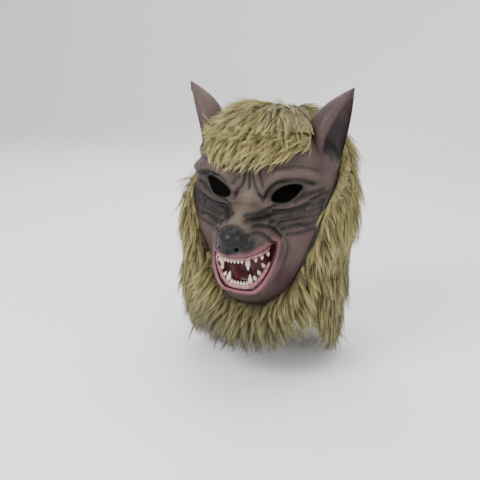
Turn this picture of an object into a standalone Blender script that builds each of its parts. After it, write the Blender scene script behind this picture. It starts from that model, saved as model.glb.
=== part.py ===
"""A werewolf head mask: one moulded rubber face with its ears, glued to the front of a knitted hood.
The mouth has its own lining, gums and teeth, and long fur covers the hood, the brow and the chin.

Metres, +Z up. The face looks along -Y and the mask's left side is +X. The origin is on the inside of
the crown, where a head carries the mask. Most shapes are told round the upright axis through it: an
angle from the front, positive towards +X, and a drop below the crown.
"""

from math import cos, pi, radians, sin

import bmesh
import bpy
import numpy as np
from mathutils import Vector

# Driving sizes of the hood and the face
HOOD_DROP = 0.262
HEAD_HALF_WIDTH = 0.104
HEAD_FRONT = 0.072
HEAD_BACK = 0.124
HEM_RAKE = 0.024
MUZZLE_REACH = 0.142
MUZZLE_HALF_WIDTH = 0.060
MUZZLE_EASE = 0.014
NOSE_EASE = 0.004
FACE_HALF_ANGLE = radians(100)
FACE_TOP = 0.014
HEM_STRIP = 0.010
FACE_BOTTOM = HOOD_DROP - HEM_STRIP

# Walls and the clearances between neighbours
FACE_WALL = 0.0020
HOOD_WALL = 0.0020
LINING_WALL = 0.0015
SEAT_GAP = 0.0004
SEAM_GAP = 0.0008
LAP = radians(7)
LAP_DROP = 0.010
CROWN_RISE = HOOD_WALL + SEAT_GAP + FACE_WALL

# The nose, the eye holes and the mouth
NOSE_CENTRE = 0.119
NOSE_DROP = 0.141
NOSE_SIDE = 0.021
NOSE_FRONT = 0.025
NOSE_TALL = 0.017
NOSTRIL_ANGLE = radians(5.0)
NOSTRIL_BELOW_NOSE = 0.011
NOSTRIL_WIDTH = 0.0052
EYE_ANGLE = radians(38.0)
EYE_DROP = 0.0905
EYE_HALF_ANGLE = radians(13.5)
EYE_HALF_HEIGHT = 0.0105
EYE_SLANT = 0.0085
MOUTH_HALF_ANGLE = radians(29.2)
MOUTH_TOP = 0.151
MOUTH_TALL = 0.0705
MOUTH_DEPTH = 0.26

# The ears
EAR_TIP_SIDE = 0.1205
EAR_TIP_FRONT = 0.0075
EAR_TIP_RISE = 0.0494
EAR_MOUTH_OUT = 0.012
EAR_MOUTH_SHIFT = (0.010, -0.008, 0.004)
EAR_HOLLOW_LIFT = 0.003

# The seam between the hood's crown and its sides, as a share of the hood's drop
CROWN_SEAM = 0.20

# The fur
PILE = 0.0145
MANE_PILE = 0.076
HAIR_LENGTH = 0.054
LOCKS_ROUND = 16
LOCK_RELIEF = 0.34
FUR_TIERS = 4
LOCK_TIP = 0.020
BEARD_HALF_ANGLE = radians(55)
BEARD_LENGTH = 0.047
BEARD_PILE = 0.030
BEARD_LOCKS = 8
FORELOCK_HALF_ANGLE = radians(62)
FORELOCK_LENGTH = 0.047
FORELOCK_LEAST_PILE = 0.004
FORELOCK_LOCKS = 9

# The teeth and gums
GUM_HALF_ANGLE = radians(23.5)
UPPER_GUM_DEPTH = 0.060
LOWER_GUM_DEPTH = 0.030
TOOTH_GAP = 0.0012
FANG_RADIUS = 0.0034
UPPER_FANG_LENGTH = 0.0155
LOWER_FANG_LENGTH = 0.0128
INCISOR_WIDTH = 0.0044
INCISOR_LENGTH = 0.0055
INCISORS_PER_SIDE = 3
SIDE_TEETH = 3
SIDE_TOOTH_LENGTH = 0.0065
SIDE_TOOTH_RADIUS = 0.0026
GUM_RADIUS = 0.0021

# The lining behind the lips, front to back: depth and width as shares
LINING_SECTIONS = (
    # depth, width
    (0.12, 1.00),
    (0.39, 1.00),
    (0.69, 0.97),
    (1.00, 0.88),
)
# The beard from its root to its tips: share of its length, and how full it is
BEARD_SECTIONS = (
    # share, fullness
    (0.00, 0.30),
    (0.12, 0.62),
    (0.30, 0.92),
    (0.50, 1.00),
    (0.72, 0.95),
    (1.00, 0.72),
)
# The mane below the hood's hem: share of its length, and how far it draws in
MANE_TIPS = (
    # share, width
    (0.35, 0.99),
    (0.70, 0.96),
    (1.00, 0.90),
)

# How finely the surfaces are divided
FACE_ROWS = 28
FACE_COLUMNS = 12
HOOD_ROWS = 9
GUM_RINGS = 17
COLUMNS_PER_LOCK = 4

# Level sections of the head, crown to hem: drop, half-width, front and back as shares of their sizes,
# how square the section is, and how far above level the fur stands, in degrees
HEAD_SECTIONS = (
    # drop, width, front, back, square, lean
    (0.000, 0.00, 0.00, 0.00, 2.0, 90),
    (0.006, 0.31, 0.31, 0.30, 2.1, 80),
    (0.031, 0.58, 0.58, 0.56, 2.2, 64),
    (0.076, 0.75, 0.79, 0.77, 2.3, 44),
    (0.145, 0.86, 0.90, 0.88, 2.5, 26),
    (0.229, 0.93, 0.96, 0.95, 2.7, 12),
    (0.344, 0.98, 0.96, 0.99, 3.0, 2),
    (0.450, 1.00, 0.98, 1.00, 3.5, 0),
    (0.573, 0.97, 1.00, 0.96, 3.3, -4),
    (0.706, 0.83, 0.98, 0.88, 2.8, -8),
    (0.840, 0.73, 0.92, 0.81, 2.4, -8),
    (0.935, 0.70, 0.88, 0.78, 2.3, -8),
    (1.000, 0.70, 0.86, 0.78, 2.3, -8),
)

# Level sections of the muzzle and the lower jaw: drop as a share of the hood's, reach and half-width
# as shares of the muzzle's, and squareness
MUZZLE_SECTIONS = (
    # drop, reach, width, square
    (0.300, 0.32, 0.10, 2.0),
    (0.362, 0.46, 0.24, 2.2),
    (0.382, 0.53, 0.36, 2.3),
    (0.405, 0.62, 0.46, 2.2),
    (0.427, 0.70, 0.55, 2.1),
    (0.450, 0.79, 0.63, 2.0),
    (0.473, 0.865, 0.70, 2.0),
    (0.504, 0.93, 0.78, 2.0),
    (0.542, 0.975, 0.83, 2.0),
    (0.580, 0.995, 0.85, 2.0),
    (0.611, 0.985, 0.88, 2.0),
    (0.641, 0.93, 0.91, 2.1),
    (0.672, 0.875, 0.94, 2.2),
    (0.725, 0.80, 0.98, 2.4),
    (0.782, 0.76, 0.98, 2.5),
    (0.832, 0.74, 0.95, 2.5),
    (0.878, 0.70, 0.88, 2.4),
    (0.916, 0.64, 0.79, 2.3),
    (0.947, 0.55, 0.70, 2.2),
    (0.975, 0.45, 0.62, 2.1),
)

# The moulded face's side edge: drop as a share of the hood's, angle as a share of the face's
FACE_EDGE = (
    # drop, angle
    (0.00, 1.00),
    (0.16, 1.00),
    (0.25, 0.97),
    (0.32, 0.82),
    (0.38, 0.67),
    (0.46, 0.60),
    (0.60, 0.57),
    (0.70, 0.54),
    (0.80, 0.49),
    (0.87, 0.42),
    (0.92, 0.33),
    (0.95, 0.22),
    (0.962, 0.12),
)

# Folds of the face on its +X side: height above the skin, half-width, and the line that each follows,
# as pairs of angle in degrees and drop as a share of the hood's
FACE_FOLDS = (
    # rise, half-width, line
    (0.0095, 0.0095, ((16, 0.335), (22, 0.285), (34, 0.245), (48, 0.240), (62, 0.262))),
    (0.0035, 0.0060, ((9, 0.225), (7, 0.290), (10, 0.345))),
    (-0.0060, 0.0120, ((26, 0.368), (38, 0.345), (50, 0.315))),
    (0.0035, 0.0060, ((24, 0.408), (36, 0.412), (48, 0.388), (60, 0.345))),
    (-0.0040, 0.0060, ((14, 0.450), (26, 0.440), (40, 0.425), (54, 0.395), (66, 0.372))),
    (0.0040, 0.0065, ((22, 0.480), (38, 0.465), (54, 0.435), (64, 0.415))),
    (-0.0035, 0.0060, ((30, 0.515), (44, 0.500), (56, 0.475), (62, 0.470))),
    (0.0045, 0.0065, ((22, 0.548), (31, 0.560), (36, 0.620), (32, 0.700), (24, 0.780), (13, 0.850))),
)

# Half of the mouth's outline, from the front of the upper lip round its corner to the front of the
# lower lip: angle as a share of the mouth's half-angle, drop as a share of its height below its top
MOUTH_OUTLINE = (
    # angle, drop
    (0.00, 0.185),
    (0.27, 0.180),
    (0.45, 0.155),
    (0.62, 0.115),
    (0.80, 0.050),
    (0.94, 0.005),
    (1.00, 0.090),
    (0.97, 0.250),
    (0.87, 0.430),
    (0.75, 0.615),
    (0.58, 0.820),
    (0.38, 0.960),
    (0.17, 0.998),
    (0.00, 1.000),
)
MOUTH_CORNER = 6

# The loop in which the +X ear stands on the head: angle in degrees, drop as a share of the hood's, how
# far the loop bellies out of the straight line to the tip at half height, forwards and sideways, as
# shares of the ear's rise above the crown
EAR_LOOP = (
    # angle, drop, forward, side
    (70, 0.225, 0.02, -0.02),
    (68, 0.160, 0.10, -0.05),
    (67, 0.105, 0.10, -0.10),
    (71, 0.055, 0.03, -0.17),
    (83, 0.048, -0.06, -0.16),
    (95, 0.085, -0.12, -0.08),
    (99, 0.160, -0.14, -0.01),
    (95, 0.240, -0.10, 0.02),
    (88, 0.285, 0.00, 0.03),
    (79, 0.262, 0.05, 0.02),
)
EAR_MOUTH = 9
EAR_WALL_SHARE = 0.78
EAR_ROOM_SHARE = 1.08

# How a tooth narrows: height as a share of its length, radius as a share of its own
TOOTH_RINGS = (
    # height, radius
    (0.00, 0.92),
    (0.25, 1.00),
    (0.60, 0.72),
    (1.00, 0.18),
)

# Fullness of the mane and length of its hair, as shares, at angles in degrees from the front
MANE_ROUND = (
    # angle, fullness, length
    (-180, 0.62, 0.98),
    (-130, 0.80, 1.00),
    (-100, 1.00, 0.90),
    (-75, 1.10, 0.60),
    (-50, 0.90, 0.50),
    (50, 0.45, 0.10),
    (72, 0.47, 0.18),
    (92, 0.50, 0.80),
    (130, 0.60, 1.00),
    (180, 0.62, 0.98),
)

# Length of the beard, as a share, at angles in degrees from the front
BEARD_ROUND = (
    # angle, length
    (-57, 0.80),
    (-30, 0.95),
    (0, 1.00),
    (22, 0.80),
    (38, 0.40),
    (57, 0.10),
)

# How thick the fur is down the hood: drop as a share of the hood's, pile as a share of the mane's
PILE_SECTIONS = (
    # drop, pile
    (0.00, 0.205),
    (0.15, 0.200),
    (0.30, 0.220),
    (0.45, 0.320),
    (0.57, 0.460),
    (0.70, 0.700),
    (0.84, 0.950),
    (1.00, 1.000),
)


def clear_scene():
    for scene_object in list(bpy.data.objects):
        bpy.data.objects.remove(scene_object, do_unlink=True)


def new_collection(name):
    collection = bpy.data.collections.new(name)
    bpy.context.scene.collection.children.link(collection)
    return collection


def material(name, colour, roughness):
    finish = bpy.data.materials.new(name)
    finish.use_nodes = True
    shader = finish.node_tree.nodes["Principled BSDF"]
    shader.inputs["Base Color"].default_value = (*colour, 1)
    shader.inputs["Roughness"].default_value = roughness
    shader.inputs["Metallic"].default_value = 0
    finish.diffuse_color = (*colour, 1)
    return finish


def smooth_rows(rows, steps=20):
    """Each row of a table with `steps` rows read from a smooth curve between it and the next."""
    table = np.array(rows, float)
    first = 2 * table[0] - table[1]
    last = 2 * table[-1] - table[-2]
    table = np.vstack([first, table, last])
    found = []
    for a, b, c, d in zip(table[:-3], table[1:-2], table[2:-1], table[3:]):
        for step in range(steps):
            t = step / steps
            found.append(b + 0.5 * t * (c - a + t * (2 * a - 5 * b + 4 * c - d + t * (3 * (b - c) + d - a))))
    found.append(table[-2])
    return np.array(found)


HEAD = smooth_rows(HEAD_SECTIONS)
MUZZLE = smooth_rows(MUZZLE_SECTIONS)


def read(table, drop, column):
    return np.interp(drop / HOOD_DROP, table[:, 0], table[:, column])


def rounded_box(angle, side, end, square):
    return ((np.abs(np.sin(angle)) / side) ** square + (np.abs(np.cos(angle)) / end) ** square) ** (-1 / square)


def blend(a, b, reach):
    """The larger of two lengths, eased over `reach` where they are alike."""
    return 0.5 * (a + b + np.sqrt((a - b) ** 2 + reach**2))


def head_radius(angle, drop):
    side = np.maximum(read(HEAD, drop, 1) * HEAD_HALF_WIDTH, 1e-5)
    front = np.maximum(read(HEAD, drop, 2) * HEAD_FRONT, 1e-5)
    back = np.maximum(read(HEAD, drop, 3) * HEAD_BACK, 1e-5)
    return rounded_box(angle, side, np.where(np.cos(angle) > 0, front, back), read(HEAD, drop, 4))


def muzzle_radius(angle, drop):
    reach = read(MUZZLE, drop, 1) * MUZZLE_REACH
    half_width = read(MUZZLE, drop, 2) * MUZZLE_HALF_WIDTH
    radius = rounded_box(angle, half_width, reach, read(MUZZLE, drop, 3))
    return np.where(np.cos(angle) > 0, radius, 0)


def nose_radius(angle, drop):
    """Where a level ray from the axis leaves the ball of the nose, or 0 where it misses."""
    level = np.clip(1 - ((drop - NOSE_DROP) / NOSE_TALL) ** 2, 0, None)
    along = np.cos(angle) / NOSE_FRONT**2
    size = along * np.cos(angle) + (np.sin(angle) / NOSE_SIDE) ** 2
    root = (along * NOSE_CENTRE) ** 2 - size * ((NOSE_CENTRE / NOSE_FRONT) ** 2 - level)
    return np.where(root > 0, (along * NOSE_CENTRE + np.sqrt(np.maximum(root, 0))) / size, 0)


def line_distance(across, drop, line):
    """Distance from points to a line of (across, drop) corners, all in metres."""
    least = np.full(np.shape(across), np.inf)
    for (a0, d0), (a1, d1) in zip(line[:-1], line[1:]):
        run = (a1 - a0) ** 2 + (d1 - d0) ** 2
        t = np.clip(((across - a0) * (a1 - a0) + (drop - d0) * (d1 - d0)) / run, 0, 1)
        least = np.minimum(least, np.hypot(across - a0 - t * (a1 - a0), drop - d0 - t * (d1 - d0)))
    return least


def face_radius(angle, drop):
    """The outer skin of the moulded face."""
    angle = np.abs(angle)
    radius = blend(head_radius(angle, drop), muzzle_radius(angle, drop), MUZZLE_EASE)
    radius = blend(radius, nose_radius(angle, drop), NOSE_EASE)
    across = angle * HEAD_HALF_WIDTH
    inside_lap = np.clip((edge_angle(drop) - angle) / LAP - 1, 0, 1)
    for rise, half_width, line in FACE_FOLDS:
        corners = [(radians(a) * HEAD_HALF_WIDTH, d * HOOD_DROP) for a, d in smooth_rows(line, 4)]
        fold = rise * np.exp(-((line_distance(across, drop, corners) / half_width) ** 2))
        radius = radius + fold * inside_lap
    return radius


def place(angle, radius, drop):
    return Vector((radius * sin(angle), -radius * cos(angle), CROWN_RISE - drop))


def on_face(angle, drop, out=0.0):
    return place(angle, float(face_radius(angle, drop)) + out, drop)


def edge_angle(drop):
    table = np.array(FACE_EDGE)
    return np.interp(drop / HOOD_DROP, table[:, 0], table[:, 1]) * FACE_HALF_ANGLE


def hem_drop(angle, share):
    """The extra drop of the hood's lower rows, which reach further down behind."""
    return HEM_RAKE * max(0.0, (share - 0.7) / 0.3) * (1 - cos(angle)) / 2


def add_object(name, mesh, finish, collection):
    part = bpy.data.objects.new(name, mesh)
    collection.objects.link(part)
    if finish:
        mesh.materials.append(finish)
    mesh.shade_smooth()
    return part


def mesh_of(name, points, faces):
    """A mesh from points and faces, its doubles welded and its faces turned outwards."""
    mesh = bpy.data.meshes.new(name)
    mesh.from_pydata([tuple(p) for p in points], [], faces)
    work = bmesh.new()
    work.from_mesh(mesh)
    bmesh.ops.remove_doubles(work, verts=work.verts, dist=1e-6)
    bmesh.ops.dissolve_degenerate(work, edges=work.edges, dist=1e-7)
    bmesh.ops.recalc_face_normals(work, faces=work.faces)
    work.to_mesh(mesh)
    work.free()
    return mesh


def grid_mesh(name, rows, around=False):
    """An open sheet through rows of points, or a tube of rows where they close around."""
    count = len(rows[0])
    points = [point for row in rows for point in row]
    faces = []
    for r in range(len(rows) - 1):
        for c in range(count if around else count - 1):
            d = (c + 1) % count
            faces.append((r * count + c, r * count + d, (r + 1) * count + d, (r + 1) * count + c))
    return mesh_of(name, points, faces)


def loft_mesh(name, sections, closed=False):
    """A solid through closed sections of equal count, capped at its ends or joined into a ring."""
    count = len(sections[0])
    points = [point for section in sections for point in section]
    faces = []
    for s in range(len(sections) if closed else len(sections) - 1):
        t = (s + 1) % len(sections)
        for c in range(count):
            d = (c + 1) % count
            faces.append((s * count + c, s * count + d, t * count + d, t * count + c))
    for first in () if closed else (0, (len(sections) - 1) * count):
        ends = points[first : first + count]
        if (ends[0] - ends[1]).length > 1e-6:
            faces.append(tuple(range(first, first + count)))
    return mesh_of(name, points, faces)


def solidify(part, thickness):
    shell = part.modifiers.new("wall", "SOLIDIFY")
    shell.thickness = thickness
    shell.offset = -1
    return shell


def boolean(part, other, operation, solver="EXACT"):
    step = part.modifiers.new(other.name, "BOOLEAN")
    step.operation = operation
    step.object = other
    step.solver = solver
    return step


def helper(name, mesh):
    """A cutter or a shape to be joined: kept out of the finished part."""
    shape = bpy.data.objects.new(name, mesh)
    CUTTERS.objects.link(shape)
    shape.hide_render = True
    shape.display_type = "WIRE"
    return shape


def keep_largest(part):
    """Works out a part's modifiers, and drops the crumbs that its cuts leave beside the one body."""
    graph = bpy.context.evaluated_depsgraph_get()
    mesh = bpy.data.meshes.new_from_object(part.evaluated_get(graph))
    work = bmesh.new()
    work.from_mesh(mesh)
    bmesh.ops.triangulate(work, faces=work.faces)
    bmesh.ops.remove_doubles(work, verts=work.verts, dist=2e-5)
    bmesh.ops.dissolve_degenerate(work, edges=work.edges, dist=2e-5)
    left = set(work.faces)
    bodies = []
    while left:
        body = [left.pop()]
        for face in body:
            pairs = [edge.link_faces for edge in face.edges if len(edge.link_faces) == 2]
            near = {other for pair in pairs for other in pair} & left
            left -= near
            body.extend(near)
        bodies.append(body)
    bodies.sort(key=len)
    bmesh.ops.delete(work, geom=[face for body in bodies[:-1] for face in body], context="FACES")
    work.to_mesh(mesh)
    work.free()
    part.modifiers.clear()
    part.data = mesh


def radial_plug(name, outline, near, far):
    """A block cut outwards from the axis, through an outline of (angle, drop) corners."""
    middle = np.mean(np.array(outline), axis=0)
    count = len(outline)
    rings = [[place(a, radius, d) for a, d in outline] for radius in (near, far)]
    points = rings[0] + rings[1] + [place(middle[0], radius, middle[1]) for radius in (near, far)]
    faces = []
    for c in range(count):
        d = (c + 1) % count
        faces.append((c, d, count + d, count + c))
        faces.append((d, c, 2 * count))
        faces.append((count + c, count + d, 2 * count + 1))
    return helper(name, mesh_of(name, points, faces))


def window_block(name, widen, levels, upper, lower, near, far):
    """A block cut outwards from the axis, the face's outline moved out by the angle `widen`. Where it
    runs on below the face it takes in the beard.
    """
    drops = [upper] + [d for d in levels if upper + SEAT_GAP < d < lower - SEAT_GAP] + [lower]
    least = BEARD_HALF_ANGLE if lower > FACE_BOTTOM else 0
    sections = []
    for drop in drops:
        edge = max(float(edge_angle(min(drop, FACE_BOTTOM))), least) + widen
        angles = np.linspace(-edge, edge, 15)
        sections.append([place(a, near, drop) for a in angles] + [place(a, far, drop) for a in angles[::-1]])
    return helper(name, loft_mesh(name, sections))


def face_drops():
    """Levels of the face's rows, closer where the muzzle runs forward."""
    drops = np.linspace(FACE_TOP, FACE_BOTTOM, 400)
    reach = face_radius(np.zeros(400), drops)
    step = np.hypot(np.diff(drops), 0.7 * np.diff(reach))
    path = np.concatenate([[0], np.cumsum(step)])
    return np.interp(np.linspace(0, path[-1], FACE_ROWS + 1), path, drops)


def face_reach():
    """How far the nose stands out from the axis."""
    return NOSE_CENTRE + NOSE_FRONT


def eye_outline(side):
    """The almond of an eye hole, lower at its inner corner."""
    corners = []
    for k in range(12):
        turn = 2 * pi * k / 12
        across = cos(turn)
        tall = sin(turn) * (1 - 0.25 * across * across)
        angle = EYE_ANGLE + EYE_HALF_ANGLE * across
        corners.append((side * angle, EYE_DROP - EYE_SLANT * across - EYE_HALF_HEIGHT * tall))
    return corners


def nostril_outline(side):
    turns = [2 * pi * k / 8 for k in range(8)]
    half_angle = NOSTRIL_WIDTH / 2 / MUZZLE_REACH
    return [
        (side * (NOSTRIL_ANGLE + half_angle * cos(t)), NOSE_DROP + NOSTRIL_BELOW_NOSE + NOSTRIL_WIDTH / 2 * sin(t)) for t in turns
    ]


def mouth_outline(inset=0.0):
    """The whole mouth's outline as (angle, drop), moved inwards by `inset` metres."""
    half = smooth_rows(MOUTH_OUTLINE, 1)
    half[0, 0] = half[-1, 0] = 0
    across = half[:, 0] * MOUTH_HALF_ANGLE * HEAD_HALF_WIDTH
    drop = MOUTH_TOP + half[:, 1] * MOUTH_TALL
    loop = np.vstack([np.column_stack([across, drop]), np.column_stack([-across, drop])[-2:0:-1]])
    along = np.roll(loop, -1, axis=0) - np.roll(loop, 1, axis=0)
    along /= np.linalg.norm(along, axis=1)[:, None]
    loop = loop + inset * np.column_stack([-along[:, 1], along[:, 0]])
    return [(a / HEAD_HALF_WIDTH, d) for a, d in loop]


def make_ear(side):
    """One ear of the face: a cone on a bean-shaped loop, with the hollow of the ear cut out of it."""
    tip = Vector((EAR_TIP_SIDE, -EAR_TIP_FRONT, EAR_TIP_RISE))
    loop = smooth_rows(EAR_LOOP + EAR_LOOP[:1], 1)[:-1]

    def cone(name, share, lift, top, centre):
        middle = loop[:, :2].mean(axis=0)
        feet = []
        for spread in (0.0, 0.5, 1.0):
            ring = middle + (loop[:, :2] - middle) * spread
            feet.append([on_face(radians(a), d * HOOD_DROP, lift) for a, d in ring])
        rows = [[centre + (foot - centre) * share for foot in ring] for ring in feet]
        for height in (0.15, 0.34, 0.54, 0.75, 0.93):
            belly = 4 * height * (1 - height) * (tip.z + HOOD_DROP * 0.15) * share
            end = centre.lerp(tip, top) if share < 1 else tip
            row = [foot.lerp(end, height) for foot in rows[2]]
            rows.append([p + Vector((s, -f, 0)) * belly for p, (_, _, f, s) in zip(row, loop)])
        rows.append([end] * len(loop))
        return helper(name, loft_mesh(name, [[Vector((side * p.x, p.y, p.z)) for p in row] for row in rows]))

    middle = (radians(EAR_LOOP[EAR_MOUTH][0]), EAR_LOOP[EAR_MOUTH][1] * HOOD_DROP)
    mouth_side = on_face(*middle, EAR_MOUTH_OUT) + Vector(EAR_MOUTH_SHIFT)
    outer = cone(f"ear_cone_{side}", 1.0, -0.5 * FACE_WALL, 1.0, mouth_side)
    hollow = cone(f"ear_hollow_{side}", EAR_WALL_SHARE, EAR_HOLLOW_LIFT, 0.90, mouth_side)
    return outer, hollow


def ear_room(side):
    """The room that the fur leaves round an ear: the ear's cone, grown about its own middle."""
    cone = EARS[side][0].data.copy()
    middle = sum((v.co for v in cone.vertices), Vector()) / len(cone.vertices)
    for vertex in cone.vertices:
        vertex.co = middle + (vertex.co - middle) * EAR_ROOM_SHARE
    return helper(f"ear_room_{side}", cone)


def make_face():
    """The moulded face and ears: a thin rubber skin, open behind."""
    rows = []
    for drop in face_drops():
        shares = np.linspace(0, 1, FACE_COLUMNS + 1)
        angles = float(edge_angle(drop)) * shares * (0.70 + 0.30 * shares**2)
        row = [place(a, r, drop) for a, r in zip(angles, face_radius(angles, np.full(len(angles), drop)))]
        row[0].x = 0
        rows.append(row)
    face = add_object("latex_face", grid_mesh("latex_face", rows), RUBBER, PARTS)
    mirror = face.modifiers.new("other half", "MIRROR")
    mirror.merge_threshold = 0.00001
    solidify(face, FACE_WALL)
    reach = face_reach()
    boolean(face, radial_plug("mouth_hole", mouth_outline(), 0.4 * reach, 1.3 * reach), "DIFFERENCE")
    for side in (1, -1):
        outer, hollow = EARS[side]
        boolean(face, outer, "UNION")
        boolean(face, hollow, "DIFFERENCE")
        boolean(face, radial_plug(f"eye_hole_{side}", eye_outline(side), 0.2 * reach, 1.1 * reach), "DIFFERENCE")
        boolean(face, radial_plug(f"nostril_{side}", nostril_outline(side), 0.83 * reach, 1.2 * reach), "DIFFERENCE")
    keep_largest(face)
    return face


def head_point(angle, row, out):
    """A point `out` beyond the head's surface, along the way the fur stands, at a row of the table."""
    rows = np.arange(len(HEAD))
    drop = float(np.interp(row, rows, HEAD[:, 0])) * HOOD_DROP
    lean = radians(float(np.interp(row, rows, HEAD[:, 5])))
    radius = float(head_radius(angle, drop)) if row > 0 else 0.0
    level = max(radius + out * cos(lean), 0.0)
    return place(angle, level, drop + hem_drop(angle, drop / HOOD_DROP) - out * sin(lean))


def raked_radius(angle, drop):
    """The head's radius at an angle and a true drop, below which its lower rows are raked."""
    shares = np.linspace(0.3, 1, 60)
    drops = [share * HOOD_DROP + hem_drop(angle, share) for share in shares]
    return float(head_radius(angle, float(np.interp(drop, drops, shares)) * HOOD_DROP))


def hood_rows():
    """The rows of the head's table that the hood and the mane share, and the place of the crown's seam."""
    rows = np.linspace(0, len(HEAD) - 1, HOOD_ROWS + 1)
    seam_row = float(np.interp(CROWN_SEAM, HEAD[:, 0], np.arange(len(HEAD))))
    seam = int(np.argmin(abs(rows - seam_row)))
    rows[seam] = seam_row
    return list(rows), seam


def make_panel(name, rows, turns):
    """One panel of the knitted hood, along rows of the head's table and a list of angles."""
    points = [[head_point(turn, row, -FACE_WALL - SEAT_GAP) for turn in turns] for row in rows]
    around = turns[-1] - turns[0] > 1.9 * pi
    panel = add_object(name, grid_mesh(name, points, around=around), KNIT, PARTS)
    solidify(panel, HOOD_WALL)
    levels = face_drops()[::4]
    top, bottom = FACE_TOP + LAP_DROP, FACE_BOTTOM - LAP_DROP
    window = window_block(f"{name}_opening", -LAP, levels, top, bottom, 0.14 * face_reach(), 1.4 * face_reach())
    boolean(panel, window, "DIFFERENCE")
    return panel


def make_hood():
    """The knitted hood: a crown panel and two side panels, with the face's opening left in front. The
    side panels meet in a seam behind and one under the chin.
    """
    step = pi / LOCKS_ROUND
    rows, seam = hood_rows()
    half_gap = SEAM_GAP / HOOD_DROP * len(HEAD) / 2
    make_panel("hood_crown", rows[:seam] + [rows[seam] - half_gap], [step * k for k in range(2 * LOCKS_ROUND)])
    sides = [rows[seam] + half_gap] + rows[seam + 1 :]
    edge = SEAM_GAP / 2 / HEAD_FRONT
    turns = [edge] + [step * k for k in range(1, LOCKS_ROUND)] + [pi - edge]
    make_panel("hood_left", sides, turns)
    make_panel("hood_right", sides, [-turn for turn in turns[::-1]])


def read_round(table, angle, column):
    table = np.array(table)
    return float(np.interp(np.degrees(angle), table[:, 0], table[:, column]))


def lock_ridge(column, tier):
    """0 in the valley between two locks and 1 on a lock's back, each tier half a lock further round."""
    return 0.5 - 0.5 * cos(2 * pi * (column / COLUMNS_PER_LOCK + 0.5 * (tier % 2)))


def shingle(column, share, tiers):
    """How far a point of the fur stands out, about 1: each tier of locks swells towards its tips."""
    at = share * tiers
    swell = at % 1.0
    return 1 + LOCK_RELIEF * (swell - 0.5) * (0.35 + 0.65 * lock_ridge(column, int(at)))


def mane_pile(angle, drop):
    """How far the fur stands off the head, thinner along the edge of the face."""
    pile = float(np.interp(drop / HOOD_DROP, *np.array(PILE_SECTIONS).T)) * MANE_PILE
    full = read_round(MANE_ROUND, angle, 1)
    spread = float(np.interp(drop / HOOD_DROP, (0.25, 0.55), (0, 1)))
    pile *= 1 - spread * (1 - full)
    edge = max(float(edge_angle(drop)), BEARD_HALF_ANGLE if drop > 0.7 * HOOD_DROP else 0)
    beside = min(1.0, max(0.0, (abs(angle) - edge) / radians(36)))
    return max(pile * (1 - spread * 0.62 * (1 - beside)), PILE * 0.7)


def pelt_section(angle, column):
    """An upright section of the mane: down its outside, round the tips and up the inside."""
    rows, _ = hood_rows()
    outside = []
    for row in rows:
        drop = float(np.interp(row, np.arange(len(HEAD)), HEAD[:, 0])) * HOOD_DROP
        ripple = shingle(column, row / rows[-1], FUR_TIERS) if row > 0 else 1
        outside.append(head_point(angle, row, mane_pile(angle, drop) * ripple))
    hem, above = outside[-1], outside[-2]
    length = HAIR_LENGTH * read_round(MANE_ROUND, angle, 2) + LOCK_TIP * lock_ridge(column, FUR_TIERS)
    level = Vector((hem.x, hem.y, 0)).length
    for share, draw in MANE_TIPS:
        outside.append(Vector((hem.x * draw, hem.y * draw, hem.z - length * share)))
    inside = [head_point(angle, row, 1.5 * SEAT_GAP - FACE_WALL) for row in rows]
    return outside + inside[::-1]


def pelt_level(angle, height):
    """How far the mane's outside lies from the axis at a height above the origin, before its ripples."""
    levels, heights = [], []
    for row in np.linspace(0, len(HEAD) * 0.6, 40):
        drop = float(np.interp(row, np.arange(len(HEAD)), HEAD[:, 0])) * HOOD_DROP
        point = head_point(angle, row, mane_pile(angle, drop))
        levels.append(Vector((point.x, point.y, 0)).length)
        heights.append(point.z)
    return float(np.interp(-height, -np.array(heights), levels))


def make_mane():
    """The long fur round the hood, cut away in front for the face, the beard and the ears."""
    count = LOCKS_ROUND * COLUMNS_PER_LOCK
    sections = []
    for column in range(count):
        angle = -pi + 2 * pi * column / count
        sections.append(pelt_section(angle, column))
    mane = add_object("mane_fur", loft_mesh("mane_fur", sections, closed=True), FUR, PARTS)
    lowest = HOOD_DROP + HEM_RAKE + 1.2 * HAIR_LENGTH + 2 * LOCK_TIP
    levels = face_drops()
    levels = np.sort(np.concatenate([levels, (levels[1:] + levels[:-1]) / 2]))
    reach = face_reach()
    window = window_block("mane_opening", LAP / 3.5, levels, FACE_TOP - 2 * SEAT_GAP, lowest, 0.08 * reach, 2 * reach)
    boolean(mane, window, "DIFFERENCE", "MANIFOLD")
    for side in (1, -1):
        boolean(mane, EAR_ROOMS[side], "DIFFERENCE", "MANIFOLD")
    return mane


def face_end(angle):
    """The drop at which the face's edge passes an angle."""
    drops = np.linspace(0.6 * HOOD_DROP, FACE_BOTTOM, 60)
    edges = edge_angle(drops)
    return float(np.interp(-abs(angle), -edges, drops))


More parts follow.
